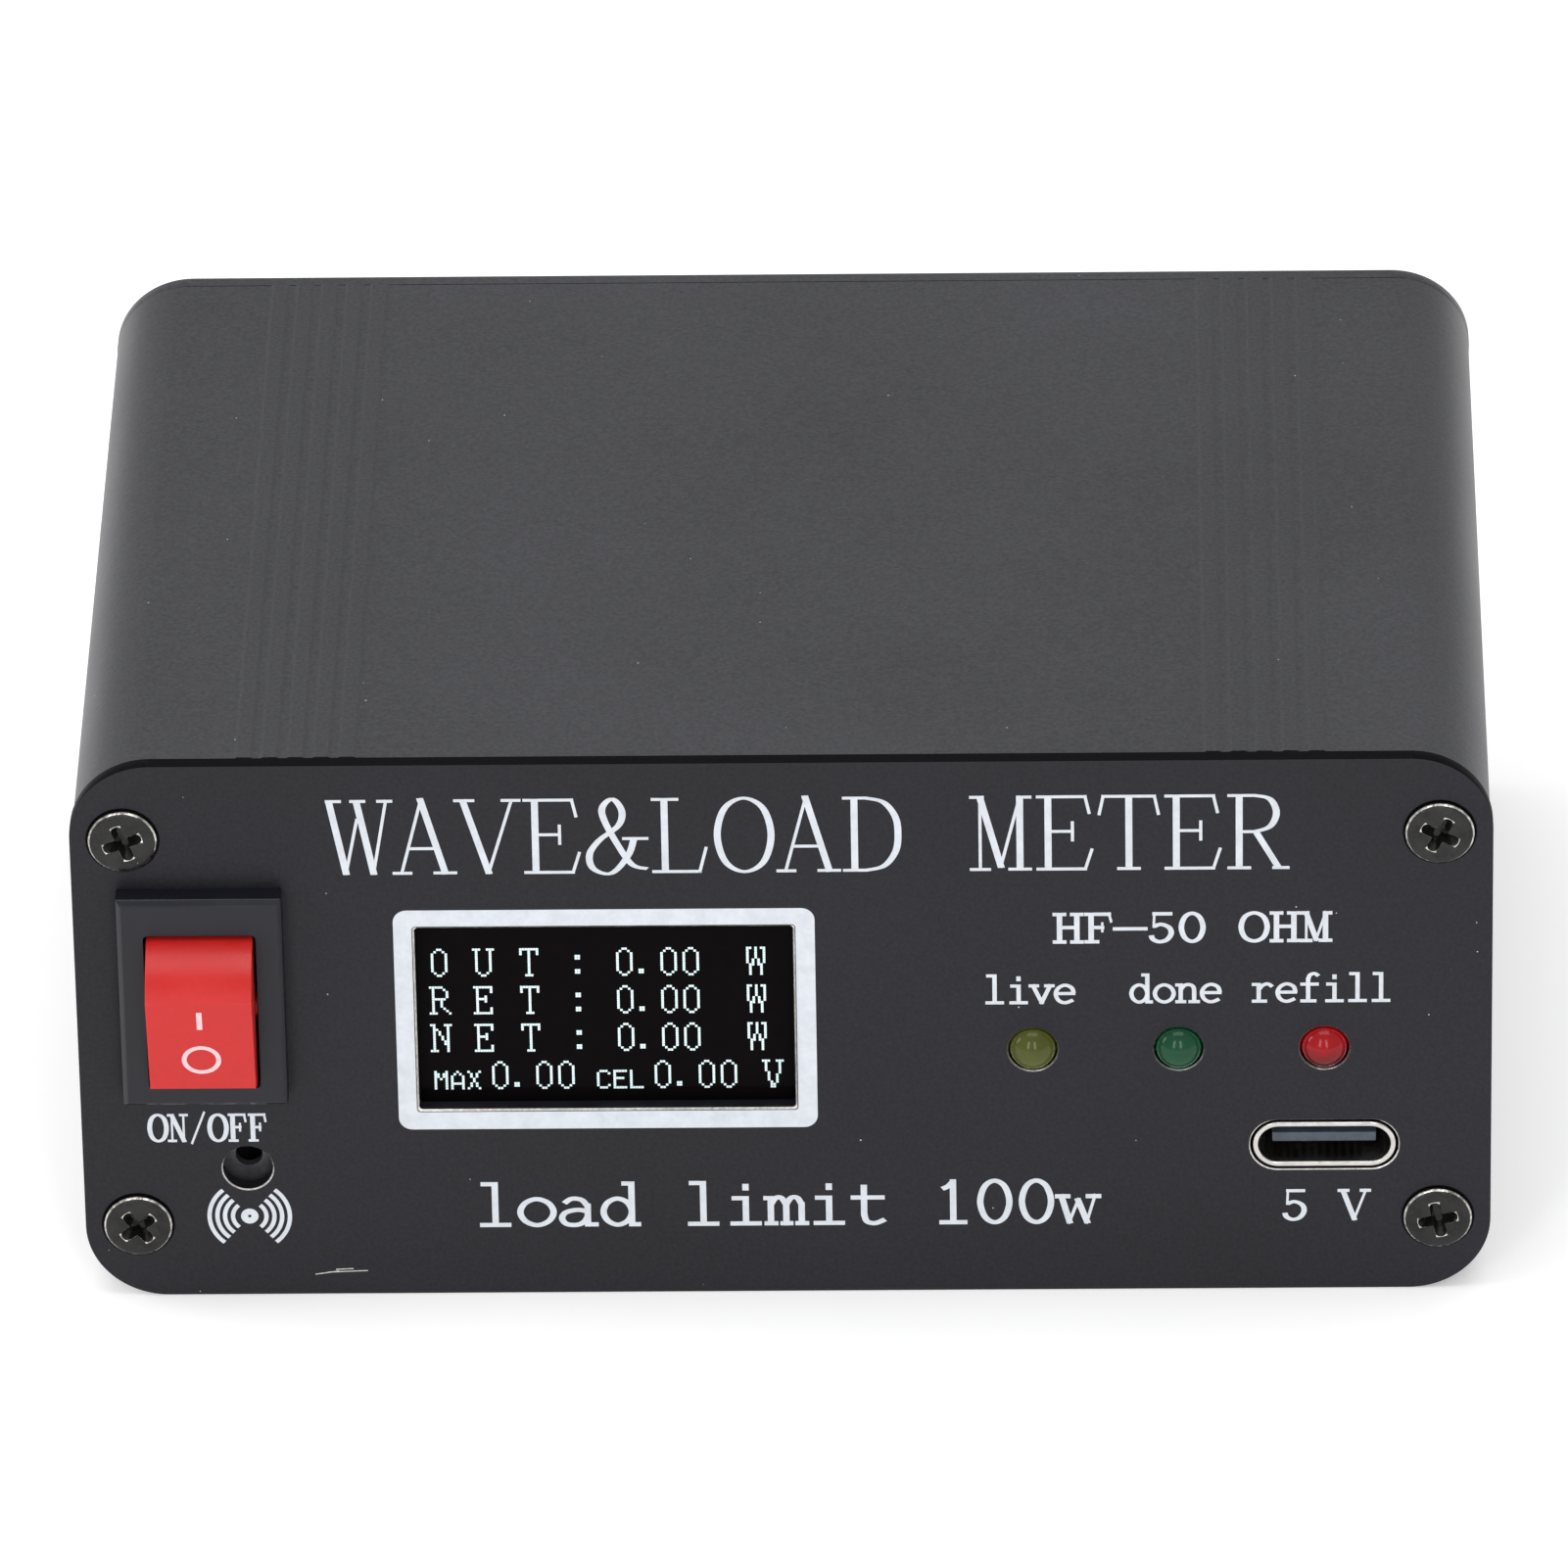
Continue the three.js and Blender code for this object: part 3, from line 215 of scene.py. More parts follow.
def speck_group():
    """Sparse round specks, as dust and tiny pits make, with their own scale, size and share."""
    tree = bpy.data.node_groups.new("dust_specks", "ShaderNodeTree")
    for name, value in (("Scale", 300.0), ("Size", 0.03), ("Share", 0.5)):
        socket = tree.interface.new_socket(name, in_out="INPUT", socket_type="NodeSocketFloat")
        socket.default_value = value
    tree.interface.new_socket("Mask", in_out="OUTPUT", socket_type="NodeSocketFloat")
    given = tree.nodes.new("NodeGroupInput").outputs
    result = tree.nodes.new("NodeGroupOutput").inputs
    place = shader_node(tree, "TexCoord").outputs["Object"]
    cells = shader_node(tree, "TexVoronoi", {"Vector": place, "Scale": given["Scale"]})
    chance = shader_node(tree, "SeparateColor", {0: cells.outputs["Color"]}).outputs[0]
    chosen = shader_node(tree, "Math", {0: chance, 1: given["Share"]}, operation="LESS_THAN")
    reach = shader_node(tree, "Math", {0: given["Size"], 1: chance}, operation="MULTIPLY")
    wide = shader_node(tree, "Math", {0: reach.outputs[0], 1: given["Size"]}, operation="ADD")
    near = shader_node(tree, "Math", {0: cells.outputs["Distance"], 1: wide.outputs[0]}, operation="LESS_THAN")
    both = shader_node(tree, "Math", {0: chosen.outputs[0], 1: near.outputs[0]}, operation="MULTIPLY")
    tree.links.new(both.outputs[0], result["Mask"])
    return tree


fine_grain = grain_group()
dust_specks = speck_group()


def surface(
    name,
    colour,
    roughness,
    metallic=0.0,
    grain=6000.0,
    relief=0.02,
    patch=60.0,
    patch_share=0.4,
    mottle=0.12,
    rough_spread=0.08,
    dust=None,
    dust_colour=(0.55, 0.56, 0.58),
    **fixed,
):
    """A material with grain, patches and, if asked for, dust. relief is in millimetres."""
    made = bpy.data.materials.new(name)
    made.use_nodes = True
    tree = made.node_tree
    shader = tree.nodes["Principled BSDF"]
    shader.inputs["Metallic"].default_value = metallic
    for socket, value in fixed.items():
        shader.inputs[socket.replace("_", " ")].default_value = value
    scales = {"Grain Scale": grain, "Patch Scale": patch, "Patch Share": patch_share}
    look = shader_node(tree, "Group", scales, node_tree=fine_grain).outputs
    dark = [c * (1 - mottle) for c in colour] + [1]
    light = [c * (1 + mottle) for c in colour] + [1]
    tint = shader_node(tree, "Mix", {0: look["Tone"], 6: dark, 7: light}, data_type="RGBA").outputs[2]
    rough_range = {0: look["Patch"], 1: 0.3, 2: 0.7, 3: roughness - rough_spread, 4: roughness + rough_spread}
    rough = shader_node(tree, "MapRange", rough_range).outputs[0]
    if dust:
        scattered = dict(zip(("Scale", "Size", "Share"), dust))
        specks = shader_node(tree, "Group", scattered, node_tree=dust_specks).outputs["Mask"]
        tint = shader_node(tree, "Mix", {0: specks, 6: tint, 7: (*dust_colour, 1)}, data_type="RGBA").outputs[2]
    bump = shader_node(tree, "Bump", {"Strength": 1.0, "Distance": relief * MM, "Height": look["Height"]})
    tree.links.new(tint, shader.inputs["Base Color"])
    tree.links.new(rough, shader.inputs["Roughness"])
    tree.links.new(bump.outputs[0], shader.inputs["Normal"])
    return made


def block(low, high):
    """A box between two corners, as a new bmesh."""
    shape = bmesh.new()
    low = Vector(low)
    high = Vector(high)
    size = Matrix.Diagonal((*(high - low), 1))
    bmesh.ops.create_cube(shape, size=1, matrix=Matrix.Translation((low + high) / 2) @ size)
    return shape


def round_edges(shape, edges, radius, segments):
    """Rounds some edges of a bmesh, and closes any flat that shrank to nothing."""
    bmesh.ops.bevel(
        shape,
        geom=edges,
        offset=radius,
        offset_type="OFFSET",
        segments=segments,
        profile=0.5,
        affect="EDGES",
        material=-1,
        clamp_overlap=True,
    )
    bmesh.ops.remove_doubles(shape, verts=shape.verts, dist=0.001 * MM)


def slice_at(shape, point, normal, clear=False):
    """Splits a bmesh's faces along a plane, and drops what lies beyond it if clear is set."""
    return bmesh.ops.bisect_plane(
        shape,
        geom=shape.verts[:] + shape.edges[:] + shape.faces[:],
        plane_co=point,
        plane_no=normal,
        clear_outer=clear,
    )["geom_cut"]


def push_out(shape, way):
    """Extrudes all of a flat bmesh along a way."""
    grown = bmesh.ops.extrude_face_region(shape, geom=shape.faces[:])["geom"]
    moved = [g for g in grown if isinstance(g, bmesh.types.BMVert)]
    bmesh.ops.translate(shape, vec=way, verts=moved)


def edges_along(shape, axis):
    """The edges that run along one axis: 0 for x, 1 for y, 2 for z."""
    return [e for e in shape.edges if abs((e.verts[0].co - e.verts[1].co).normalized()[axis]) > 0.99]


def rounded_block(low, high, axis, radius, segments=12):
    """A box whose edges along one axis are rounded."""
    shape = block(low, high)
    round_edges(shape, edges_along(shape, axis), radius, segments)
    return shape


def piece_of(name, shape):
    """Turns a bmesh into an object of its own in the scene."""
    bmesh.ops.recalc_face_normals(shape, faces=shape.faces)
    mesh = bpy.data.meshes.new(name)
    shape.to_mesh(mesh)
    shape.free()
    piece = bpy.data.objects.new(name, mesh)
    scene.collection.objects.link(piece)
    return piece


def settle(piece):
    """Applies a piece's modifiers to its mesh."""
    bpy.context.view_layer.update()
    graph = bpy.context.evaluated_depsgraph_get()
    shaped = bpy.data.meshes.new_from_object(piece.evaluated_get(graph))
    old = piece.data
    piece.modifiers.clear()
    piece.data = shaped
    bpy.data.meshes.remove(old)
    shaped.name = piece.name


def cut(piece, tool, operation="DIFFERENCE"):
    """Cuts a bmesh's shape out of a piece, or joins it on with operation UNION."""
    cutter = piece_of("tool", tool)
    modifier = piece.modifiers.new("cut", "BOOLEAN")
    modifier.operation = operation
    modifier.solver = "EXACT"
    modifier.object = cutter
    settle(piece)
    bpy.data.meshes.remove(cutter.data)


def break_edges(piece, width, segments=2, angle=50, soft=38):
    """Rounds every edge that is sharper than angle, and shades those softer than soft smooth, in degrees."""
    modifier = piece.modifiers.new("edges", "BEVEL")
    modifier.width = width
    modifier.segments = segments
    modifier.limit_method = "ANGLE"
    modifier.angle_limit = math.radians(angle)
    settle(piece)
    smooth(piece, soft)
    flatten(piece)


def smooth(piece, angle=38):
    """Smooth shading, except over edges sharper than an angle in degrees."""
    piece.data.shade_smooth()
    piece.data.set_sharp_from_angle(angle=math.radians(angle))


def flatten(piece):
    """Turns the shading normals of a finished piece towards its largest faces, so that they look flat."""
    modifier = piece.modifiers.new("normals", "WEIGHTED_NORMAL")
    modifier.keep_sharp = True
    settle(piece)


def fit(piece, body, slot, *nodes):
    """Lets a piece ride on its body and stand for its frame nodes; slot is not used."""
    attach(piece, body)
    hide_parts(*nodes)


case_black = surface(
    "case_black",
    (0.0265, 0.027, 0.0325),
    0.44,
    grain=4200.0,
    relief=0.016,
    patch=45.0,
    mottle=0.55,
    rough_spread=0.05,
    dust=(650.0, 0.026, 0.25),
    Specular_IOR_Level=0.5,
)


def half_shell(name, direction, strip_x, strip_count, strip_depth, strip_widths):
    """One half of the case. direction is 1 for the top half and -1 for the bottom one."""
    rise = seam if direction < 0 else panel_high.z - top_inset - seam
    inner = half_width - wall
    ledge_low = ledge_below_seam - ledge_height
    side = [(inner, 0), (inner, ledge_low), (inner - ledge_reach, ledge_low)]
    side += [(inner - ledge_reach, ledge_below_seam), (inner, ledge_below_seam), (inner, rise - wall)]
    outer = [(half_width, rise), (half_width, 0)]
    half = outer + side
    outline = half + [(-x, z) for x, z in reversed(half)]
    shape = bmesh.new()
    verts = [shape.verts.new((x, front_end, z)) for x, z in outline]
    shape.faces.new(verts)
    for x, z, radius, steps in ((half_width, rise, corner, 20), (inner, rise - wall, corner - wall, 10)):
        rounded = [v for v in shape.verts if abs(abs(v.co.x) - x) + abs(v.co.z - z) < seam_gap]
        bmesh.ops.bevel(
            shape,
            geom=rounded,
            offset=radius,
            offset_type="OFFSET",
            segments=steps,
            profile=0.5,
            affect="VERTICES",
            material=-1,
        )
    push_out(shape, (0, rear_end - front_end, 0))
    top_width, base_width = strip_widths
    for sign in (-1, 1):
        for index in range(strip_count):
            x = sign * strip_x + (index - (strip_count - 1) / 2) * rib_pitch
            for offset in (-base_width / 2, -top_width / 2, top_width / 2, base_width / 2):
                slice_at(shape, (x + offset, 0, 0), (1, 0, 0))
            upper = [v for v in shape.verts if v.co.z > rise - 0.01 * MM]
            strip = [v for v in upper if abs(v.co.x - x) < top_width / 2 + 0.01 * MM]
            bmesh.ops.translate(shape, vec=(0, 0, strip_depth), verts=strip)
    if direction < 0:
        bmesh.ops.scale(shape, vec=(1, 1, -1), verts=shape.verts)
    foot = seam if direction < 0 else seam + seam_gap / 2
    bmesh.ops.translate(shape, vec=(0, 0, foot), verts=shape.verts)
    return piece_of(name, shape)


def tube(radius, start, end, segments=32):
    """A plain cylinder between two points, to cut with or to join on."""
    shape = bmesh.new()
    along = Vector(end) - Vector(start)
    turn = along.to_track_quat("Z", "Y").to_matrix().to_4x4()
    bmesh.ops.create_cone(
        shape,
        cap_ends=True,
        segments=segments,
        radius1=radius,
        radius2=radius,
        depth=along.length,
        matrix=Matrix.Translation((Vector(start) + Vector(end)) / 2) @ turn,
    )
    return shape


for name, direction, strip_height, strip_widths in (
    ("top_shell", 1, rib_height, (rib_top, rib_base)),
    ("bottom_shell", -1, -rib_height, (groove_width * 0.5, groove_width)),
):
    shell = half_shell(name + "_extrusion", direction, rib_middle, 5, strip_height, strip_widths)
    for sign in (-1, 1):
        centre = Vector((sign * screw_x, 0, seam + direction * screw_rise))
        boss = tube(channel_radius, centre + Vector((0, front_end, 0)), centre + Vector((0, rear_end, 0)))
        trimmed = slice_at(boss, (sign * (half_width - wall / 2), 0, 0), (sign, 0, 0), clear=True)
        bmesh.ops.contextual_create(boss, geom=[g for g in trimmed if isinstance(g, bmesh.types.BMEdge)])
        cut(shell, boss, "UNION")
        beyond = Vector((0, 2 * rear_end, 0))
        cut(shell, tube(channel_bore, centre - beyond, centre + beyond))
    break_edges(shell, 0.06 * MM, soft=12)
    shell.data.materials.append(case_black)
    fit(shell, "case", "case_black", name)

# ---------------------------------------------------------------------------------------------------------
# The panels are 1 mm aluminium sheet, black anodised and then milled, so that the walls of the cut-outs are
# bare metal. The front one takes the switch, display, lights, sounder and socket; the rear one two sockets.

panel_corner = 5.1 * MM
hole_gap = 0.1 * MM
sink_wide = 2.3 * MM
sink_narrow = 1.4 * MM
sink_depth = 0.9 * MM
window_low = Vector((-22.85 * MM, 0, seam - 5.75 * MM))
window_high = Vector((0.65 * MM, 0, seam + 7.5 * MM))
window_corner = 0.25 * MM
lens_radius = 1.5 * MM
lens_gap = 0.04 * MM
sounder_hole = 1.57 * MM
usb_low, usb_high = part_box("usb_shell")
usb_margin = 0.17 * MM
rear_low, rear_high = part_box("rear_panel")
rear_trim = 0.12 * MM
socket_hole = 7.6 * MM
panel_black = surface(
    "panel_black",
    (0.0093, 0.0093, 0.0135),
    0.5,
    grain=4200.0,
    relief=0.008,
    patch=30.0,
    mottle=0.4,
    rough_spread=0.04,
    dust=(700.0, 0.028, 0.3),
    Specular_IOR_Level=0.27,
)
milled_edge = surface(
    "milled_edge",
    (0.66, 0.64, 0.61),
    0.32,
    metallic=1.0,
    grain=5000.0,
    relief=0.02,
    mottle=0.35,
)
# Painted shade: the front panel's rim is near black with almost no sheen, standing in for the seam's shadow.
front_rim_painted_shade = surface(
    "front_rim_painted_shade",
    (0.0045, 0.0045, 0.0055),
    0.5,
    grain=4200.0,
    relief=0.008,
    mottle=0.3,
    Specular_IOR_Level=0.02,
)


def turned(points, place, steps=64):
    """Spins a profile of (radius, height) points about an axis; place puts the axis where it belongs."""
    shape = bmesh.new()
    verts = [shape.verts.new((radius, 0, height)) for radius, height in points]
    edges = [shape.edges.new(pair) for pair in zip(verts, verts[1:])]
    bmesh.ops.spin(
        shape,
        geom=verts + edges,
        cent=(0, 0, 0),
        axis=(0, 0, 1),
        angle=2 * math.pi,
        steps=steps,
        use_merge=True,
    )
    bmesh.ops.remove_doubles(shape, verts=shape.verts, dist=0.0005 * MM)
    bmesh.ops.recalc_face_normals(shape, faces=shape.faces)
    bmesh.ops.transform(shape, matrix=place, verts=shape.verts)
    return shape


def axis_at(point, direction):
    """Puts a turned piece's axis through a point, with its height along a direction."""
    turn = Vector(direction).to_track_quat("Z", "Y").to_matrix().to_4x4()
    return Matrix.Translation(point) @ turn


def milled(piece, front, high):
    """Leaves a panel and its walls black, bares the broken edges of its cut-outs, and gives the front rim painted
    shade for the seam's shadow and the rear rim the case's finish.
    """
    for material in (panel_black, milled_edge, front_rim_painted_shade if front < 0 else case_black):
        piece.data.materials.append(material)
    for face in piece.data.polygons:
        beyond_x = max(abs(face.center.x) - high.x + panel_corner, 0)
        beyond_z = max(abs(face.center.z - seam) - high.z + seam + panel_corner, 0)
        inside = math.hypot(beyond_x, beyond_z) < panel_corner - 0.5 * MM
        if inside and abs(face.normal.y) < 0.97 and abs(face.center.y - front) < 0.12 * MM:
            face.material_index = 1
        elif not inside and abs(face.normal.y) < 0.5:
            face.material_index = 2


def panel_sheet(name, low, high, openings):
    """A panel with rounded corners, countersunk holes for its four screws and openings of its own."""
    sheet = piece_of(name, rounded_block(low, high, 1, panel_corner, 24))
    for tool in openings:
        cut(sheet, tool)
    out = -1 if low.y < 0 else 1
    face = low.y if low.y < 0 else high.y
    for x in (-screw_x, screw_x):
        for z in (seam - screw_rise, seam + screw_rise):
            profile = [(0, -3 * MM), (sink_narrow, -3 * MM), (sink_narrow, -sink_depth)]
            profile += [(2 * sink_wide - sink_narrow, sink_depth), (0, sink_depth)]
            cut(sheet, turned(profile, axis_at((x, face, z), (0, out, 0)), 48))
    break_edges(sheet, 0.07 * MM)
    milled(sheet, face, high)
    return sheet


def through(low, high, radius, chamfer, segments=8):
    """A tool with rounded corners that reaches through the front panel and chamfers the opening's front edge."""
    low = Vector((low.x, panel_low.y - chamfer, low.z))
    high = Vector((high.x, panel_high.y + 3 * MM, high.z))
    shape = rounded_block(low, high, 1, radius, segments)
    slice_at(shape, (0, panel_low.y + chamfer, 0), (0, 1, 0))
    for vert in shape.verts:
        if vert.co.y < panel_low.y:
            vert.co.x += math.copysign(2 * chamfer, vert.co.x - (low.x + high.x) / 2)
            vert.co.z += math.copysign(2 * chamfer, vert.co.z - (low.z + high.z) / 2)
    return shape


def round_through(x, z, radius, face, out, chamfer):
    """A round tool that reaches through a panel and chamfers the hole's edge at the panel's outer face."""
    profile = [(0, -3 * MM), (radius, -3 * MM), (radius, -chamfer)]
    profile += [(radius + 2 * chamfer, chamfer), (0, chamfer)]
    return turned(profile, axis_at((x, face, z), (0, out, 0)), 64)


def middle_of(node):
    """The middle of a frame node's box."""
    low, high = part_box(node)
    return (low + high) / 2


housing_low, housing_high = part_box("switch_housing")
switch_middle = middle_of("switch_housing")
switch_body = Vector((4.4 * MM, 0, 6.7 * MM))  # half the width and height of the part behind the panel
switch_reach = switch_body + Vector((hole_gap, 0, hole_gap))
sounder_middle = middle_of("sounder_case")
led_names = ("led_work", "led_full", "led_charge")
usb_reach = Vector((usb_margin, 0, usb_margin))
usb_corner = (usb_high.z - usb_low.z) / 2 + usb_margin * 0.98
front_openings = [
    through(window_low, window_high, window_corner, 0.11 * MM),
    through(switch_middle - switch_reach, switch_middle + switch_reach, 0.3 * MM, 0.05 * MM),
    round_through(sounder_middle.x, sounder_middle.z, sounder_hole, panel_low.y, -1, 0.08 * MM),
    through(usb_low - usb_reach, usb_high + usb_reach, usb_corner, 0.06 * MM, 16),
]
for name in led_names:
    place = middle_of(name)
    front_openings.append(round_through(place.x, place.z, lens_radius + lens_gap, panel_low.y, -1, 0.08 * MM))
front_sheet = panel_sheet("front_panel_sheet", panel_low, panel_high, front_openings)
fit(front_sheet, "case", "panel_black", "front_panel")

rear_openings = []
for index in (1, 2):
    place = middle_of(f"socket_{index}_body")
    rear_openings.append(round_through(place.x, place.z, socket_hole, rear_high.y, 1, 0.08 * MM))
trim = Vector((rear_trim, 0, rear_trim))
rear_sheet = panel_sheet("rear_panel_sheet", rear_low + trim, rear_high - trim, rear_openings)
fit(rear_sheet, "case", "panel_black", "rear_panel")

# ---------------------------------------------------------------------------------------------------------
# The eight screws are blackened steel with a low head and a cross recess, driven into the shells' channels.
# The driver has worn the black off the edges of the recess and the rim, each ended at its own angle.

head_radius = 2.15 * MM
head_rise = 0.45 * MM
head_crown = 0.1 * MM
rim_width = 0.3 * MM
shank_radius = 1.25 * MM
screw_length = 8 * MM
wing_reach = 1.3 * MM
wing_width = 0.8 * MM
wing_depth = 0.95 * MM
screw_turns = (20, 62, 38, 12)
screw_black = surface(
    "screw_black",
    (0.02, 0.0195, 0.019),
    0.3,
    metallic=0.6,
    grain=3500.0,
    relief=0.03,
    patch=900.0,
    patch_share=0.7,
    mottle=0.45,
    rough_spread=0.12,
    dust=(1200.0, 0.05, 0.3),
    dust_colour=(0.3, 0.28, 0.25),
)
worn_steel = surface(
    "worn_steel",
    (0.5, 0.48, 0.45),
    0.25,
    metallic=1.0,
    grain=5000.0,
    relief=0.02,
    patch=2500.0,
    patch_share=0.8,
    mottle=0.75,
)


def cross_screw(name):
    """A screw about the z axis, its panel's face at z = 0 and its head above that."""
    profile = [(0, head_rise), (0.6 * head_radius, head_rise - 0.2 * head_crown)]
    profile += [(head_radius - rim_width, head_rise - head_crown)]
    profile += [(head_radius - 0.4 * rim_width, head_rise - 1.6 * head_crown)]
    profile += [(head_radius - 0.02 * MM, head_rise - 2.6 * head_crown), (head_radius, 0)]
    profile += [(shank_radius, -sink_depth), (shank_radius, 0.6 * MM - screw_length)]
    profile += [(0.6 * shank_radius, -screw_length), (0, -screw_length)]
    screw = piece_of(name, turned(profile, Matrix.Identity(4)))
    for turn in (0, math.pi / 2):
        wing = block(
            (-wing_reach, -wing_width / 2, head_rise - wing_depth),
            (wing_reach, wing_width / 2, head_rise + wing_depth),
        )
        round_edges(wing, edges_along(wing, 2), 0.45 * wing_width, 5)
        for vert in wing.verts:
            if vert.co.z < head_rise:
                vert.co.x *= 0.5
                vert.co.y *= 0.55
            else:
                vert.co.x *= 1.45
                vert.co.y *= 1.3
        bmesh.ops.rotate(wing, cent=(0, 0, 0), matrix=Matrix.Rotation(turn, 3, "Z"), verts=wing.verts)
        cut(screw, wing)
    break_edges(screw, 0.05 * MM, angle=40)
    screw.data.materials.append(screw_black)
    screw.data.materials.append(worn_steel)
    for face in screw.data.polygons:
        out = math.hypot(face.center.x, face.center.y)
        narrow = face.area < 0.02 * MM * MM
        on_top = face.center.z > head_rise - 0.28 * MM
        if on_top and (narrow and out < wing_reach * 1.1 or out > head_radius - 0.16 * MM):
            face.material_index = 1
    return screw


pattern_screw = cross_screw("pattern_screw")
for end, face_y, out in (("front", panel_low.y, -1), ("rear", rear_high.y, 1)):
    for index, turn in enumerate(screw_turns):
        node = f"{end}_screw_{index + 1}"
        place = middle_of(node)
        place.y = face_y
        screw = bpy.data.objects.new(node + "_cross", pattern_screw.data.copy())
        spun = Matrix.Rotation(math.radians(turn), 4, "Z")
        screw.data.transform(axis_at(place, (0, out, 0)) @ spun)
        scene.collection.objects.link(screw)
        fit(screw, "case", "screw_black", node)
bpy.data.objects.remove(pattern_screw)

# ---------------------------------------------------------------------------------------------------------
# The white marks are screen printed on the front panel in thick ink: plain generic words, a frame round the
# display and a sound sign. Every letter is drawn with the strokes of a pen that is wider than it is high.

ink_thickness = 0.012 * MM
ink_white = surface(
    "ink_white",
    (0.61, 0.64, 0.69),
    0.55,
    grain=3000.0,
    relief=0.01,
    patch=900.0,
    patch_share=0.7,
    mottle=0.09,
    Specular_IOR_Level=0.2,
)
# Strokes are split by |. Points are in hundredths of a letter's width and height. A leading ' is a hairline, a
# leading ~ is a smooth curve through its points, and a leading o is one that closes on itself.
LETTERS = {
    "W": "3,100 27,0|'27,0 46,74|46,100 70,0|'70,0 92,100|'0,100 20,100|'38,100 58,100|'80,100 100,100",
    "A": "'47,102 14,0|46,102 82,0|'26,34 70,34|'2,0 28,0|'66,0 98,0",
    "V": "12,100 50,0|'50,0 88,100|'0,100 28,100|'74,100 100,100",
    "E": "24,0 24,100|'8,100 82,100|'82,100 88,78|'8,0 82,0|'82,0 92,26|'24,52 62,52|'62,64 62,40",
    "&": "~78,46 68,22 42,-2 14,4 8,24 24,44 54,64 60,84 46,101 30,90 32,72 52,38 74,10 98,4|'62,46 98,46",
    "L": "26,0 26,100|'8,100 46,100|'8,0 80,0|'80,0 90,32",
    "O": "o50,101 20,87 8,50 20,13 50,-1 80,13 92,50 80,87",
    "D": "22,0 22,100|'6,100 40,100|~40,100 68,94 86,74 90,50 86,26 68,6 40,0|'6,0 40,0",
    "M": "'18,0 18,100|18,100 50,4|'50,4 80,100|80,0 80,100|'4,100 22,100|'4,0 32,0|'78,100 96,100|'64,0 96,0",
    "T": "50,0 50,100|'10,100 90,100|'10,100 4,76|'90,100 96,76|'34,0 66,0",
    "R": "22,0 22,100|'6,100 46,100|~46,100 70,95 80,76 70,57 46,50|'22,50 46,50|48,50 82,2|'76,0 98,0|'6,0 38,0",
    "H": "22,0 22,100|78,0 78,100|'22,52 78,52|'6,0 38,0|'6,100 38,100|'62,0 94,0|'62,100 94,100",
    "F": "24,0 24,100|'8,100 82,100|'82,100 88,76|'24,52 60,52|'60,64 60,40|'8,0 44,0",
    "N": "'20,0 20,100|20,100 78,0|'78,0 78,100|'4,100 24,100|'4,0 36,0|'64,100 94,100",
    "5": "'28,100 80,100|'28,100 26,56|~26,54 50,62 76,50 82,28 68,6 44,-1 24,8 18,22",
    "0": "o50,101 26,87 15,50 26,13 50,-1 74,13 85,50 74,87",
    "1": "50,0 50,100|~24,82 38,88 50,100|'22,0 78,0",
    "-": "0,46 100,46",
    "/": "'18,-8 82,108",
    "a": "~16,52 34,63 58,60 72,44|72,46 72,0|72,0 92,0|~72,32 48,36 20,30 10,16 20,2 44,-1 62,6 72,20",
    "d": "o44,63 20,53 10,31 20,9 44,-1 68,9 78,31 68,53|78,0 78,100|60,100 78,100|78,0 94,0",
    "e": "12,33 86,33|~86,34 78,54 50,64 22,54 10,32 22,8 50,-1 84,9",
    "f": "~84,92 68,101 48,96 40,80|40,80 40,0|14,62 78,62|14,0 68,0",
    "i": "52,0 52,62|24,62 52,62|20,0 84,0|52,86 52,92",
    "l": "50,0 50,100|22,100 50,100|18,0 82,0",
    "m": "12,0 12,62|0,62 12,62|~12,46 24,62 38,62 49,46|49,46 49,0|~49,46 61,62 76,62 86,46|86,46 86,0|2,0 24,0"
    "|40,0 60,0|76,0 98,0",
    "n": "20,0 20,62|4,62 20,62|~20,44 36,60 58,63 74,54 77,36|77,36 77,0|4,0 36,0|60,0 94,0",
    "o": "o50,63 22,53 10,31 22,9 50,-1 78,9 90,31 78,53",
    "r": "30,0 30,62|8,62 30,62|~30,42 46,58 68,64 88,54|8,0 58,0",
    "t": "36,88 36,22|~36,22 42,4 62,-1 86,8|10,62 80,62",
    "v": "14,62 50,0|50,0 86,62|2,62 32,62|68,62 98,62",
    "w": "10,62 29,0|'29,0 50,52|50,52 71,0|'71,0 90,62|'0,62 26,62|'74,62 100,62",
}


def smooth_path(points, closed):
    """A smooth curve through the points, in six steps from each to the next."""
    steps = 6
    count = len(points)
    path = []
    for index in range(count if closed else count - 1):
        near = [index + k if closed else min(max(index + k, 0), count - 1) for k in (-1, 0, 1, 2)]
        before, here, there, after = [points[k % count] for k in near]
        for step in range(steps):
            t = step / steps
            bend = (2 * before - 5 * here + 4 * there - after) * t * t
            bend += (3 * here - before - 3 * there + after) * t**3
            path.append((2 * here + (there - before) * t + bend) / 2)
    path.append(points[0] if closed else points[-1])
    return path


def arc_path(x, z, radius, first, last, step):
    """Points along an arc in x and z between two angles in degrees; a full turn ends where it started."""
    angles = [math.radians(degrees) for degrees in range(first, last + 1, step)]
    path = [Vector((x + radius * math.cos(a), z + radius * math.sin(a))) for a in angles]
    if last - first == 360:
        path[-1] = path[0]
    return path


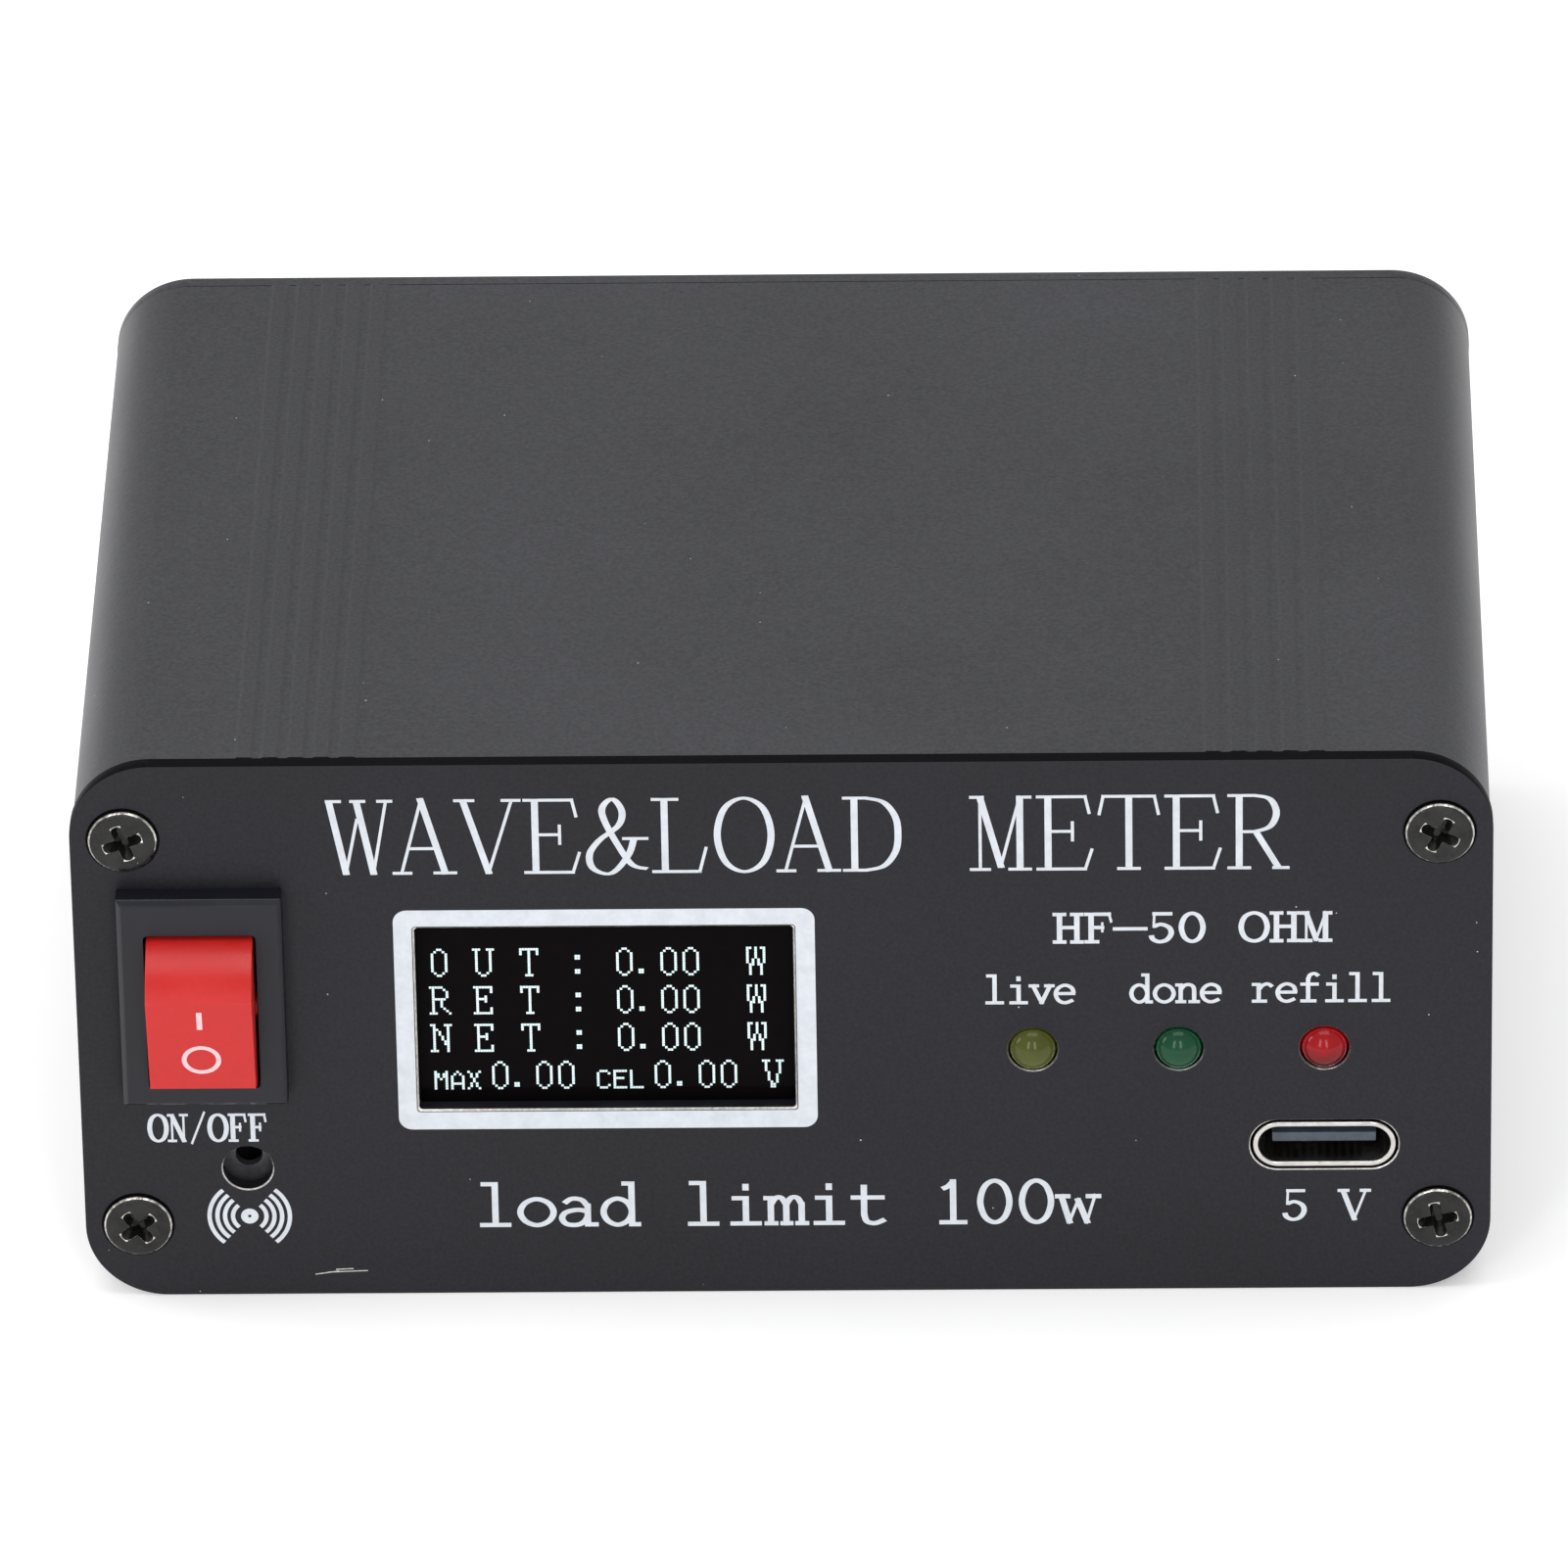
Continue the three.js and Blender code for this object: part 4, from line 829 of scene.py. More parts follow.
def pen_stroke(shape, path, nib, depth):
    """Lays one stroke of an oval pen along a path in x and z, a little thicker towards its end.

    nib is half the pen's width and half its height.
    """
    rings = []
    closed = (path[0] - path[-1]).length < 1e-9
    for index, point in enumerate(path):
        before = path[index - 1] if index else path[-2 if closed else 0]
        after = path[index + 1] if index + 1 < len(path) else path[1 if closed else -1]
        along = (after - before).normalized()
        across = Vector((along.y, -along.x))
        reach = Vector((nib[0] ** 2 * across.x, nib[1] ** 2 * across.y))
        reach /= math.hypot(nib[0] * across.x, nib[1] * across.y)
        front = -depth * (1 + 0.25 * index / len(path))
        sides = (point + reach, point - reach)
        corners = [(p.x, y, p.y) for p, y in zip(sides + sides[::-1], (0, 0, front, front))]
        rings.append([shape.verts.new(c) for c in corners])
    for ring, following in zip(rings, rings[1:]):
        for k in range(4):
            shape.faces.new((ring[k], ring[k - 1], following[k - 1], following[k]))
    for ring in (rings[0], rings[-1]):
        shape.faces.new(ring)


def write(shape, words, left, base, pitch, height, nib):
    """Prints words on a bmesh in x and z, with a fixed pitch and the height of a capital."""
    hairline = (nib[0] * 0.45, nib[1])
    for place, letter in enumerate(words):
        for index, stroke in enumerate(LETTERS.get(letter, "").split("|")):
            kind = stroke[:1] if stroke[:1] in ("'", "~", "o") else ""
            pairs = [pair.split(",") for pair in stroke[len(kind):].split()]
            parts = [(float(x) / 100, float(z) / 100) for x, z in pairs]
            points = [Vector((left + (place + x) * pitch, base + z * height)) for x, z in parts]
            if len(points) < 2:
                continue
            if kind in ("~", "o"):
                path = smooth_path(points, kind == "o")
            else:
                along = (points[1] - points[0]).normalized() * nib[1]
                path = [points[0] - along, points[1] + along]
            depth = ink_thickness * (1 + 0.3 * ((index + 3 * (place % 2)) % 7))
            pen_stroke(shape, path, hairline if kind == "'" else nib, depth)


marks = bmesh.new()
usb_x = (usb_low.x + usb_high.x) / 2
# The words, their left end and base above the seam, the pitch, a capital's height and the pen's half sizes.
printed = [
    ("WAVE&LOAD METER", -28.0 * MM, 11.55 * MM, 3.96 * MM, 5.2 * MM, (0.215 * MM, 0.1 * MM)),
    ("HF-50 OHM", 16.75 * MM, 6.25 * MM, 1.92 * MM, 2.0 * MM, (0.17 * MM, 0.12 * MM)),
    ("ON/OFF", switch_middle.x - 3.75 * MM, -7.9 * MM, 1.25 * MM, 1.9 * MM, (0.15 * MM, 0.09 * MM)),
    ("5 V", usb_x - 2.8 * MM, -14.2 * MM, 1.87 * MM, 2.1 * MM, (0.17 * MM, 0.11 * MM)),
    ("load limit 100w", -19.6 * MM, -14.27 * MM, 2.607 * MM, 3.02 * MM, (0.2 * MM, 0.15 * MM)),
]
label_pitch = 1.46 * MM
for word, node in zip(("live", "done", "refill"), led_names):
    start_x = middle_of(node).x - len(word) * label_pitch / 2 - 0.15 * MM
    printed.append((word, start_x, 1.85 * MM, label_pitch, 1.96 * MM, (0.135 * MM, 0.11 * MM)))
for words, left, above_seam, pitch, height, nib in printed:
    write(marks, words, left, seam + above_seam, pitch, height, nib)

sign_x = sounder_middle.x
sign_z = seam - 13.5 * MM
for radius in (1.05 * MM, 1.55 * MM, 2.03 * MM, 2.52 * MM):
    for side in (0, 180):
        arc = arc_path(sign_x, sign_z, radius, side - 50, side + 50, 5)
        pen_stroke(marks, arc, (0.135 * MM, 0.135 * MM), ink_thickness)
sign_dot = arc_path(sign_x, sign_z, 0.33 * MM, 0, 360, 15)
pen_stroke(marks, sign_dot, (0.22 * MM, 0.22 * MM), ink_thickness)
bmesh.ops.translate(marks, vec=(0, panel_low.y, 0), verts=marks.verts)
front_marks = piece_of("front_marks", marks)
front_marks.data.materials.append(ink_white)
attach(front_marks, "case")

frame_low = Vector((-24.15 * MM, panel_low.y - ink_thickness, seam - 7.17 * MM))
frame_high = Vector((2.0 * MM, panel_low.y, seam + 8.83 * MM))
frame_inner = 0.16 * MM  # black shows between the ink and the window's edge
window_frame = piece_of("window_frame", rounded_block(frame_low, frame_high, 1, 0.85 * MM, 8))
inner_low = Vector((window_low.x - frame_inner, panel_low.y - MM, window_low.z - frame_inner))
inner_high = Vector((window_high.x + frame_inner, panel_low.y + MM, window_high.z + frame_inner))
cut(window_frame, rounded_block(inner_low, inner_high, 1, window_corner, 8))
window_frame.data.materials.append(ink_white)
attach(window_frame, "case")

scratch = bmesh.new()
nicks = (  # the two ends of each, in millimetres from the middle and above the seam
    ((-29.7, -17.85), (-28.2, -17.62)),
    ((-28.9, -17.7), (-26.4, -17.6)),
    ((-28.4, -17.5), (-27.3, -17.45)),
)
for nick in nicks:
    ends = [Vector((x * MM, seam + z * MM)) for x, z in nick]
    depth = 0.004 * MM * (1 - nick[0][1] / 20)
    pen_stroke(scratch, smooth_path(ends, False), (0.05 * MM, 0.035 * MM), depth)
bmesh.ops.translate(scratch, vec=(0, panel_low.y, 0), verts=scratch.verts)
panel_scratch = piece_of("panel_scratch", scratch)
panel_scratch.data.materials.append(milled_edge)
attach(panel_scratch, "case")

# ---------------------------------------------------------------------------------------------------------
# The power switch snaps into the front panel: a black moulded housing with a bevelled bezel, and a glossy red
# rocker with printed signs, which tips over a spring and plunger onto a see-saw. Two blades stick out behind.

opening_half = Vector((3.475 * MM, 0, 5.55 * MM))
pivot = Vector(frame["joints"][0]["pos_m"])
bezel_bevel = 0.35 * MM
rocker_width = 6.6 * MM
rocker_radius = 5.35 * MM
rocker_flat = 3.82 * MM
rocker_back = 1.6 * MM
rocker_tilt = math.radians(14)
stem_radius = 1.9 * MM
stem_bore = 1.3 * MM
switch_black = surface(
    "switch_black",
    (0.0072, 0.0076, 0.0125),
    0.3,
    grain=4500.0,
    relief=0.008,
    patch=150.0,
    mottle=0.08,
    dust=(700.0, 0.03, 0.1),
    Specular_IOR_Level=0.34,
)
switch_red = surface(
    "switch_red",
    (0.52, 0.014, 0.012),
    0.34,
    grain=2500.0,
    relief=0.004,
    patch=200.0,
    mottle=0.05,
    dust=(800.0, 0.03, 0.08),
    dust_colour=(0.8, 0.5, 0.45),
    Subsurface_Weight=0.15,
    Subsurface_Scale=0.6 * MM,
    Specular_IOR_Level=0.32,
)
sign_pink = surface("sign_pink", (0.86, 0.52, 0.55), 0.45, grain=3000.0, relief=0.006, patch=800.0, mottle=0.06)

bezel_back = (housing_high.x, panel_low.y - 0.02 * MM, housing_high.z)
housing = piece_of("switch_housing_moulding", block(housing_low, bezel_back))
shape = bmesh.new()
shape.from_mesh(housing.data)
rim = [e for e in shape.edges if all(v.co.y < housing_low.y + 0.01 * MM for v in e.verts)]
round_edges(shape, rim, bezel_bevel, 1)
round_edges(shape, [e for e in shape.edges if e.calc_face_angle(0) > 0.6], 0.08 * MM, 2)
shape.to_mesh(housing.data)
shape.free()
body_low = switch_middle - switch_body
body_high = switch_middle + switch_body
body_low.y = panel_low.y - 0.5 * MM
body_high.y = panel_low.y + 12 * MM
cut(housing, block(body_low, body_high), "UNION")
cavity_low = pivot - opening_half - Vector((0, 3 * MM, 0))
cavity_high = pivot + opening_half + Vector((0, rocker_back + 0.4 * MM, 0))
cut(housing, rounded_block(cavity_low, cavity_high, 1, 0.25 * MM, 4))
chamber_half = Vector((2.6 * MM, 0, 5.4 * MM))
chamber_low = pivot - chamber_half
chamber_high = pivot + chamber_half + Vector((0, 10.4 * MM, 0))
cut(housing, block(chamber_low, chamber_high))
pin_half = Vector((rocker_width / 2 + 0.65 * MM, 0, 0))
cut(housing, tube(0.9 * MM, pivot - pin_half, pivot + pin_half, 24))
for node in ("switch_terminal_1", "switch_terminal_2"):
    blade_low, blade_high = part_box(node)
    gap = Vector((hole_gap, hole_gap, hole_gap))
    cut(housing, block(blade_low - gap, blade_high + gap))
break_edges(housing, 0.05 * MM)
housing.data.materials.append(switch_black)
fit(housing, "case", "switch_black", "switch_housing")


def rocker_disc(radius, front, back, half):
    """A disc about the x axis, cut flat at a front and a back distance, as wide as twice half."""
    shape = bmesh.new()
    upright = Matrix.Translation((-half, 0, 0)) @ Matrix.Rotation(math.pi / 2, 4, "Y")
    bmesh.ops.create_circle(shape, cap_ends=True, segments=128, radius=radius, matrix=upright)
    for place, way in ((-front, -1), (back, 1)):
        slice_at(shape, (0, place, 0), (0, way, 0), clear=True)
    push_out(shape, (2 * half, 0, 0))
    return shape


half = rocker_width / 2
rocker = piece_of("rocker_moulding", rocker_disc(rocker_radius, rocker_flat, rocker_back, half))
cut(rocker, rocker_disc(rocker_radius - 0.5 * MM, rocker_flat - 1.2 * MM, 2 * rocker_back, half - 0.8 * MM))
cut(rocker, tube(stem_radius, (0, -rocker_flat + 1.1 * MM, 0), (0, 2.6 * MM, 0), 40), "UNION")
cut(rocker, tube(stem_bore, (0, -2 * MM, 0), (0, 3.6 * MM, 0), 32))
for sign in (-1, 1):
    cut(rocker, tube(0.8 * MM, (sign * (half - 0.4 * MM), 0, 0), (sign * (half + 0.55 * MM), 0, 0), 24), "UNION")
break_edges(rocker, 0.16 * MM, segments=3, angle=60)
smooth(rocker, 25)
tipped = Matrix.Translation(pivot) @ Matrix.Rotation(rocker_tilt, 4, "X")
rocker.data.transform(tipped)
rocker.data.materials.append(switch_red)
fit(rocker, "rocker", "switch_red", "switch_rocker")

signs = bmesh.new()
bar_middle = 2.25 * MM
bar_half = 0.75 * MM
ring_middle = -1.18 * MM
ring_radius = 1.07 * MM
bar = [Vector((0, bar_middle - bar_half)), Vector((0, bar_middle + bar_half))]
pen_stroke(signs, bar, (0.17 * MM, 0.17 * MM), ink_thickness)
circle = arc_path(0, ring_middle, ring_radius, 0, 360, 6)
pen_stroke(signs, circle, (0.15 * MM, 0.15 * MM), ink_thickness)
bmesh.ops.translate(signs, vec=(0, -rocker_flat - 0.001 * MM, 0), verts=signs.verts)
bmesh.ops.transform(signs, matrix=tipped, verts=signs.verts)
rocker_signs = piece_of("rocker_signs", signs)
rocker_signs.data.materials.append(sign_pink)
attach(rocker_signs, "rocker")

# ---------------------------------------------------------------------------------------------------------
# The display is a black glass panel on a blue board, pressed against the window's foam gasket. Its lit dots
# are square and pale blue: three rows of readings, and a fourth with two small words.

glass_low, glass_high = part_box("display_glass")
dot_pitch = 0.172 * MM
dot_size = 0.155 * MM
dot_depth = 0.012 * MM
screen_left = -22.1 * MM
screen_top = glass_low.z + 17.29 * MM
row_dots = 16
column_dots = 8
screen_glass = surface(
    "screen_glass",
    (0.0035, 0.0028, 0.003),
    0.12,
    grain=1500.0,
    relief=0.001,
    patch=120.0,
    mottle=0.1,
    rough_spread=0.03,
    Specular_IOR_Level=0.02,
)
lit_dots = surface("lit_dots", (0.6, 0.75, 0.76), 0.5, grain=6000.0, relief=0.001, patch=900.0, mottle=0.12)
lit_shader = lit_dots.node_tree.nodes["Principled BSDF"]
lit_shader.inputs["Emission Color"].default_value = (0.72, 0.88, 0.92, 1)
lit_shader.inputs["Emission Strength"].default_value = 0.3
# Strokes between dots, counted right and down from a letter's corner: large letters, then small ones.
LARGE = {
    "0": "3,3 4,3|5,4 5,4|6,5 6,12|5,13 5,13|4,14 3,14|2,13 2,13|1,12 1,5|2,4 2,4",
    "O": "3,3 4,3|5,4 6,5|6,5 6,12|5,13 4,14|4,14 3,14|2,13 1,12|1,12 1,5|2,4 3,3",
    "U": "0,3 2,3|1,3 1,12|2,13 3,14|4,14 5,13|6,12 6,3|5,3 7,3",
    "T": "1,5 1,3|1,3 7,3|7,3 7,5|4,3 4,14|3,14 5,14",
    "R": "0,3 4,3|1,3 1,14|5,4 6,5|6,5 6,7|5,8 2,8|4,9 4,11|5,12 7,14|0,14 2,14",
    "E": "0,3 6,3|6,4 6,5|1,3 1,14|1,8 4,8|4,7 4,9|0,14 6,14|6,12 6,13",
    "N": "0,3 1,3|1,3 1,14|0,14 2,14|2,5 6,12|6,3 6,14|5,3 7,3",
    "W": "1,3 2,3|4,3 4,7|6,3 7,3|1,4 1,9|7,4 7,9|3,8 3,10|5,8 5,10|2,10 2,14|6,10 6,14",
    "V": "0,3 2,3|5,3 7,3|1,3 1,6|1,6 3,14|4,14 6,6|6,6 6,3",
    ":": "3,6 4,6|3,7 4,7|3,12 4,12|3,13 4,13",
    ".": "1,12 2,12|1,13 2,13",
}
SMALL = {
    "M": "0,7 0,0|0,0 2,3|2,3 4,0|4,0 4,7",
    "A": "0,7 0,2|0,2 2,0|2,0 4,2|4,2 4,7|0,5 4,5",
    "X": "0,0 4,7|4,0 0,7",
    "C": "4,1 3,0|3,0 1,0|0,1 0,6|1,7 3,7|3,7 4,6",
    "E": "4,0 0,0|0,0 0,7|0,7 4,7|0,3 3,3",
    "L": "0,0 0,7|0,7 4,7",
}


def light_dots(lit, letters, text, column, row, width):
    """Adds the dots of a line of text to the set of lit ones."""
    for place, letter in enumerate(text):
        for stroke in filter(None, letters.get(letter, "").split("|")):
            (x0, y0), (x1, y1) = [[int(n) for n in pair.split(",")] for pair in stroke.split()]
            steps = max(abs(x1 - x0), abs(y1 - y0), 1)
            for step in range(steps + 1):
                x = x0 + (x1 - x0) * step / steps
                y = y0 + (y1 - y0) * step / steps
                lit.add((column + place * width + math.floor(x + 0.5), row + math.floor(y + 0.5)))


lit = set()
for row, word in enumerate(("O U T", "R E T", "N E T")):
    for text, column in ((word, 0), (":", 50), ("0.00", 67), ("W", 114)):
        light_dots(lit, LARGE, text, column, row * row_dots, column_dots)
last_row = 3 * row_dots
for word, word_column in (("MAX", 1), ("CEL", 60)):
    light_dots(lit, SMALL, word, word_column, last_row + 7, 6)
    light_dots(lit, LARGE, "0.00", word_column + 20, last_row, column_dots)
light_dots(lit, LARGE, "V", 120, last_row, column_dots)

readout = bmesh.new()
for column, row in sorted(lit):
    across = screen_left + (column + 0.5) * dot_pitch
    place = Vector((across, glass_low.y, screen_top - (row + 0.5) * dot_pitch))
    size = Matrix.Diagonal((dot_size, dot_depth, dot_size, 1))
    bmesh.ops.create_cube(readout, size=1, matrix=Matrix.Translation(place) @ size)
display_readout = piece_of("display_readout", readout)
display_readout.data.materials.append(lit_dots)
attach(display_readout, "case")

glass = piece_of("display_glass_plate", block(glass_low, glass_high))
break_edges(glass, 0.12 * MM, segments=2)
glass.data.materials.append(screen_glass)
fit(glass, "case", "display_glass", "display_glass")

# ---------------------------------------------------------------------------------------------------------
# Three round lamps of tinted epoxy stand in holes in the front panel: olive, green and red. Each is cast with
# a domed end and a flange at its foot. Each lower half has painted light: a paler painted reflection on the
# olive and green ones, and painted shade on the red one.

dome_height = 1.5 * MM
flange_radius = 1.9 * MM
flange_height = 1.0 * MM
# The last column scales the lower half's colour: above 1 it is a painted reflection, below 1 painted shade.
lamps = (
    ("led_work", "led_olive", (0.064, 0.072, 0.01), 1.3),
    ("led_full", "led_green", (0.005, 0.054, 0.022), 1.2),
    ("led_charge", "led_red", (0.3, 0.004, 0.007), 0.05),
)
for node, slot, colour, painted_lower_factor in lamps:
    lamp_low, lamp_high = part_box(node)
    lamp_middle = (lamp_low + lamp_high) / 2
    length = lamp_high.y - lamp_low.y
    quarter = [math.radians(degrees) for degrees in range(90, -1, -6)]
    profile = [(lens_radius * math.cos(a), length - dome_height + dome_height * math.sin(a)) for a in quarter]
    profile[0] = (0, length)
    profile += [(lens_radius, flange_height + 0.1 * MM), (lens_radius + 0.1 * MM, flange_height)]
    profile += [(flange_radius - 0.1 * MM, flange_height), (flange_radius, flange_height - 0.1 * MM)]
    profile += [(flange_radius, 0.1 * MM), (flange_radius - 0.1 * MM, 0), (0, 0)]
    foot = Vector((lamp_middle.x, lamp_high.y, lamp_middle.z))
    lamp = piece_of(node + "_lens", turned(profile, axis_at(foot, (0, -1, 0)), 64))
    smooth(lamp, 50)
    epoxy = surface(
        node + "_epoxy",
        colour,
        0.13,
        grain=900.0,
        relief=0.002,
        patch=700.0,
        mottle=0.1,
        rough_spread=0.03,
        Specular_IOR_Level=0.26,
    )
    tree = epoxy.node_tree
    shader = tree.nodes["Principled BSDF"]
    tint = shader.inputs["Base Color"].links[0].from_socket
    # Painted light on the lower half: paler for a painted reflection on olive and green, darker for painted shade
    # on red.
    place = shader_node(tree, "TexCoord").outputs["Object"]
    height = shader_node(tree, "SeparateXYZ", {0: place}).outputs["Z"]
    painted_full_below = lamp_middle.z - 0.8 * lens_radius
    painted_none_above = lamp_middle.z + 0.5 * lens_radius
    heights = {0: height, 1: painted_full_below, 2: painted_none_above, 3: 1.0, 4: 0.0}
    painted_lower_mask = shader_node(tree, "MapRange", heights, interpolation_type="SMOOTHSTEP").outputs[0]
    painted_lower_colour = [painted_lower_factor * c for c in colour] + [1]
    painted_lower_share = shader_node(tree, "Math", {0: painted_lower_mask, 1: 0.8}, operation="MULTIPLY").outputs[0]
    painted_lower_tone = shader_node(tree, "Mix", {0: painted_lower_share, 6: tint, 7: painted_lower_colour}, data_type="RGBA").outputs[2]
    tree.links.new(painted_lower_tone, shader.inputs["Base Color"])
    lamp.data.materials.append(epoxy)
    fit(lamp, "case", slot, node)

# ---------------------------------------------------------------------------------------------------------
# The charging socket is a drawn steel shell with a rolled lip round a moulded tongue with twelve contacts on
# each side. It is soldered to the charger board behind the panel.

usb_wall = 0.35 * MM
tongue_low, tongue_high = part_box("usb_tongue")
contact_count = 12
contact_pitch = 0.5 * MM
contact_size = (0.28 * MM, 1.8 * MM, 0.03 * MM)
bright_steel = surface(
    "bright_steel",
    (0.62, 0.6, 0.57),
    0.22,
    metallic=1.0,
    grain=2500.0,
    relief=0.008,
    patch=400.0,
    mottle=0.12,
)
tongue_blue = surface(
    "tongue_blue",
    (0.055, 0.068, 0.092),
    0.35,
    grain=5000.0,
    relief=0.02,
    patch=900.0,
    patch_share=0.7,
    mottle=0.35,
)
gold = surface("gold", (0.7, 0.48, 0.18), 0.25, metallic=1.0, grain=6000.0, relief=0.005, mottle=0.15)
usb_round = (usb_high.z - usb_low.z) / 2 - 0.01 * MM
usb_mouth = piece_of("usb_mouth", rounded_block(usb_low, usb_high, 1, usb_round, 16))
usb_inner = Vector((usb_wall, -MM, usb_wall))
cut(usb_mouth, rounded_block(usb_low + usb_inner, usb_high - usb_inner, 1, usb_round - usb_wall, 16))
break_edges(usb_mouth, 0.11 * MM, segments=3)
usb_mouth.data.materials.append(bright_steel)
fit(usb_mouth, "case", "usb_steel", "usb_shell")

tongue = piece_of("usb_tongue_moulding", rounded_block(tongue_low, tongue_high, 0, 0.12 * MM, 2))
break_edges(tongue, 0.08 * MM)
tongue.data.materials.append(tongue_blue)
fit(tongue, "case", "usb_plastic", "usb_tongue")

contacts = bmesh.new()
tongue_x = (tongue_low.x + tongue_high.x) / 2
for index in range(contact_count):
    x = tongue_x + (index - (contact_count - 1) / 2) * contact_pitch
    for z in (tongue_low.z, tongue_high.z):
        place = Matrix.Translation((x, tongue_low.y + 2 * MM, z))
        bmesh.ops.create_cube(contacts, size=1, matrix=place @ Matrix.Diagonal((*contact_size, 1)))
usb_contacts = piece_of("usb_contacts", contacts)
usb_contacts.data.materials.append(gold)
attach(usb_contacts, "case")

# ---------------------------------------------------------------------------------------------------------
# The sounder is a black moulded drum with a small sound hole. It stands on a round base right behind its own
# hole in the front panel.

sounder_low, sounder_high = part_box("sounder_case")
drum_radius = (sounder_high.x - sounder_low.x) / 2
drum_depth = sounder_high.y - sounder_low.y
sound_hole = 0.85 * MM
drum_wall = 0.6 * MM
sounder_black = surface(
    "sounder_black",
    (0.06, 0.06, 0.066),
    0.38,
    grain=3000.0,
    relief=0.015,
    patch=600.0,
    mottle=0.25,
    Specular_IOR_Level=0.5,
)
profile = [(sound_hole, drum_depth), (drum_radius - 0.2 * MM, drum_depth), (drum_radius, drum_depth - 0.2 * MM)]
profile += [(drum_radius, 0), (drum_radius - drum_wall, 0), (drum_radius - drum_wall, drum_depth - drum_wall)]
profile += [(sound_hole, drum_depth - drum_wall), (sound_hole, drum_depth)]
foot = Vector((sounder_middle.x, sounder_high.y, sounder_middle.z))
drum = piece_of("sounder_drum", turned(profile, axis_at(foot, (0, -1, 0)), 64))
smooth(drum)
drum.data.materials.append(sounder_black)
fit(drum, "case", "sounder_black", "sounder_case")

# ---------------------------------------------------------------------------------------------------------
# The two coaxial sockets on the rear panel are turned brass, nickel plated, with a flange, a threaded barrel
# with four notches in its rim, a white insulator and a split brass centre contact.

flange = 10 * MM
flange_thickness = 2.5 * MM
barrel_radius = 7.94 * MM
thread_depth = 0.42 * MM
thread_pitch = 1.06 * MM
plain_neck = 0.8 * MM
bore_radius = 5.9 * MM
mount_radius = 7.5 * MM
notch_width = 1.6 * MM
notch_depth = 1.1 * MM
pin_tail = 1.6 * MM
pin_bore = 2 * MM
split_width = 0.4 * MM
split_depth = 6 * MM
nickel = surface(
    "nickel",
    (0.6, 0.57, 0.51),
    0.24,
    metallic=1.0,
    grain=1800.0,
    relief=0.006,
    patch=250.0,
    mottle=0.12,
)
insulator_white = surface(
    "insulator_white",
    (0.78, 0.76, 0.7),
    0.5,
    grain=2500.0,
    relief=0.01,
    patch=400.0,
    mottle=0.06,
)
for index in (1, 2):
    body_low, body_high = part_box(f"socket_{index}_body")
    place = (body_low + body_high) / 2
    foot = Vector((place.x, body_low.y, place.z))
    length = body_high.y - body_low.y
    flange_front = rear_high.y + 0.05 * MM - body_low.y
    flange_back = flange_front + flange_thickness
    root_radius = barrel_radius - thread_depth
    profile = [(bore_radius, 0), (mount_radius, 0), (mount_radius, flange_front)]
    profile += [(flange - 0.25 * MM, flange_front), (flange, flange_front + 0.25 * MM)]
    profile += [(flange, flange_back - 0.3 * MM), (flange - 0.3 * MM, flange_back)]
    profile += [(root_radius, flange_back), (root_radius, flange_back + plain_neck)]
    turns = int((length - flange_back - 2 * plain_neck) / thread_pitch)
    for turn in range(turns):
        start = flange_back + plain_neck + turn * thread_pitch
        profile += [(barrel_radius, start + 0.42 * thread_pitch), (barrel_radius, start + 0.58 * thread_pitch)]
        profile += [(root_radius, start + thread_pitch)]
    profile += [(root_radius, length - 0.3 * MM), (root_radius - 0.3 * MM, length)]
    profile += [(bore_radius + 0.2 * MM, length), (bore_radius, length - 0.2 * MM), (bore_radius, 0)]
    barrel = piece_of(f"socket_{index}_barrel", turned(profile, axis_at(foot, (0, 1, 0)), 96))
    for across in (0, 1):
        reach = Vector((notch_width / 2, 0, flange)) if across else Vector((flange, 0, notch_width / 2))
        end = Vector((place.x, body_high.y, place.z))
        cut(barrel, block(end - reach - Vector((0, notch_depth, 0)), end + reach + Vector((0, MM, 0))))
    smooth(barrel, 30)
    barrel.data.materials.append(nickel)
    fit(barrel, "case", "socket_nickel", f"socket_{index}_body")

    white_low, white_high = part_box(f"socket_{index}_insulator")
    white_radius = (white_high.x - white_low.x) / 2
    depth = white_high.y - white_low.y
    contact_low, contact_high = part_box(f"socket_{index}_contact")
    pin_radius = (contact_high.x - contact_low.x) / 2
    profile = [(pin_radius + 0.05 * MM, 0), (white_radius, 0), (white_radius, depth - 0.15 * MM)]
    profile += [(white_radius - 0.15 * MM, depth), (pin_radius + 0.25 * MM, depth)]
    profile += [(pin_radius + 0.05 * MM, depth - 0.2 * MM), (pin_radius + 0.05 * MM, 0)]
    foot = Vector((place.x, white_low.y, place.z))
    ring = piece_of(f"socket_{index}_ring", turned(profile, axis_at(foot, (0, 1, 0)), 64))
    smooth(ring)
    ring.data.materials.append(insulator_white)
    fit(ring, "case", "socket_white", f"socket_{index}_insulator")

    length = contact_high.y - contact_low.y
    profile = [(0, 0), (pin_tail, 0), (pin_tail, 6 * MM), (pin_radius, 6.2 * MM)]
    profile += [(pin_radius, length - 0.3 * MM), (pin_radius - 0.3 * MM, length)]
    profile += [(pin_bore + 0.25 * MM, length), (pin_bore, length - 0.25 * MM)]
    profile += [(pin_bore, length - 10 * MM), (0, length - 10 * MM)]
    foot = Vector((place.x, contact_low.y, place.z))
    pin = piece_of(f"socket_{index}_pin", turned(profile, axis_at(foot, (0, 1, 0)), 48))
    end = Vector((place.x, contact_high.y, place.z))
    for reach in (Vector((split_width / 2, 0, 4 * MM)), Vector((4 * MM, 0, split_width / 2))):
        cut(pin, block(end - reach - Vector((0, split_depth, 0)), end + reach + Vector((0, MM, 0))))
    smooth(pin, 35)
    pin.data.materials.append(gold)
    fit(pin, "case", "contact_brass", f"socket_{index}_contact")

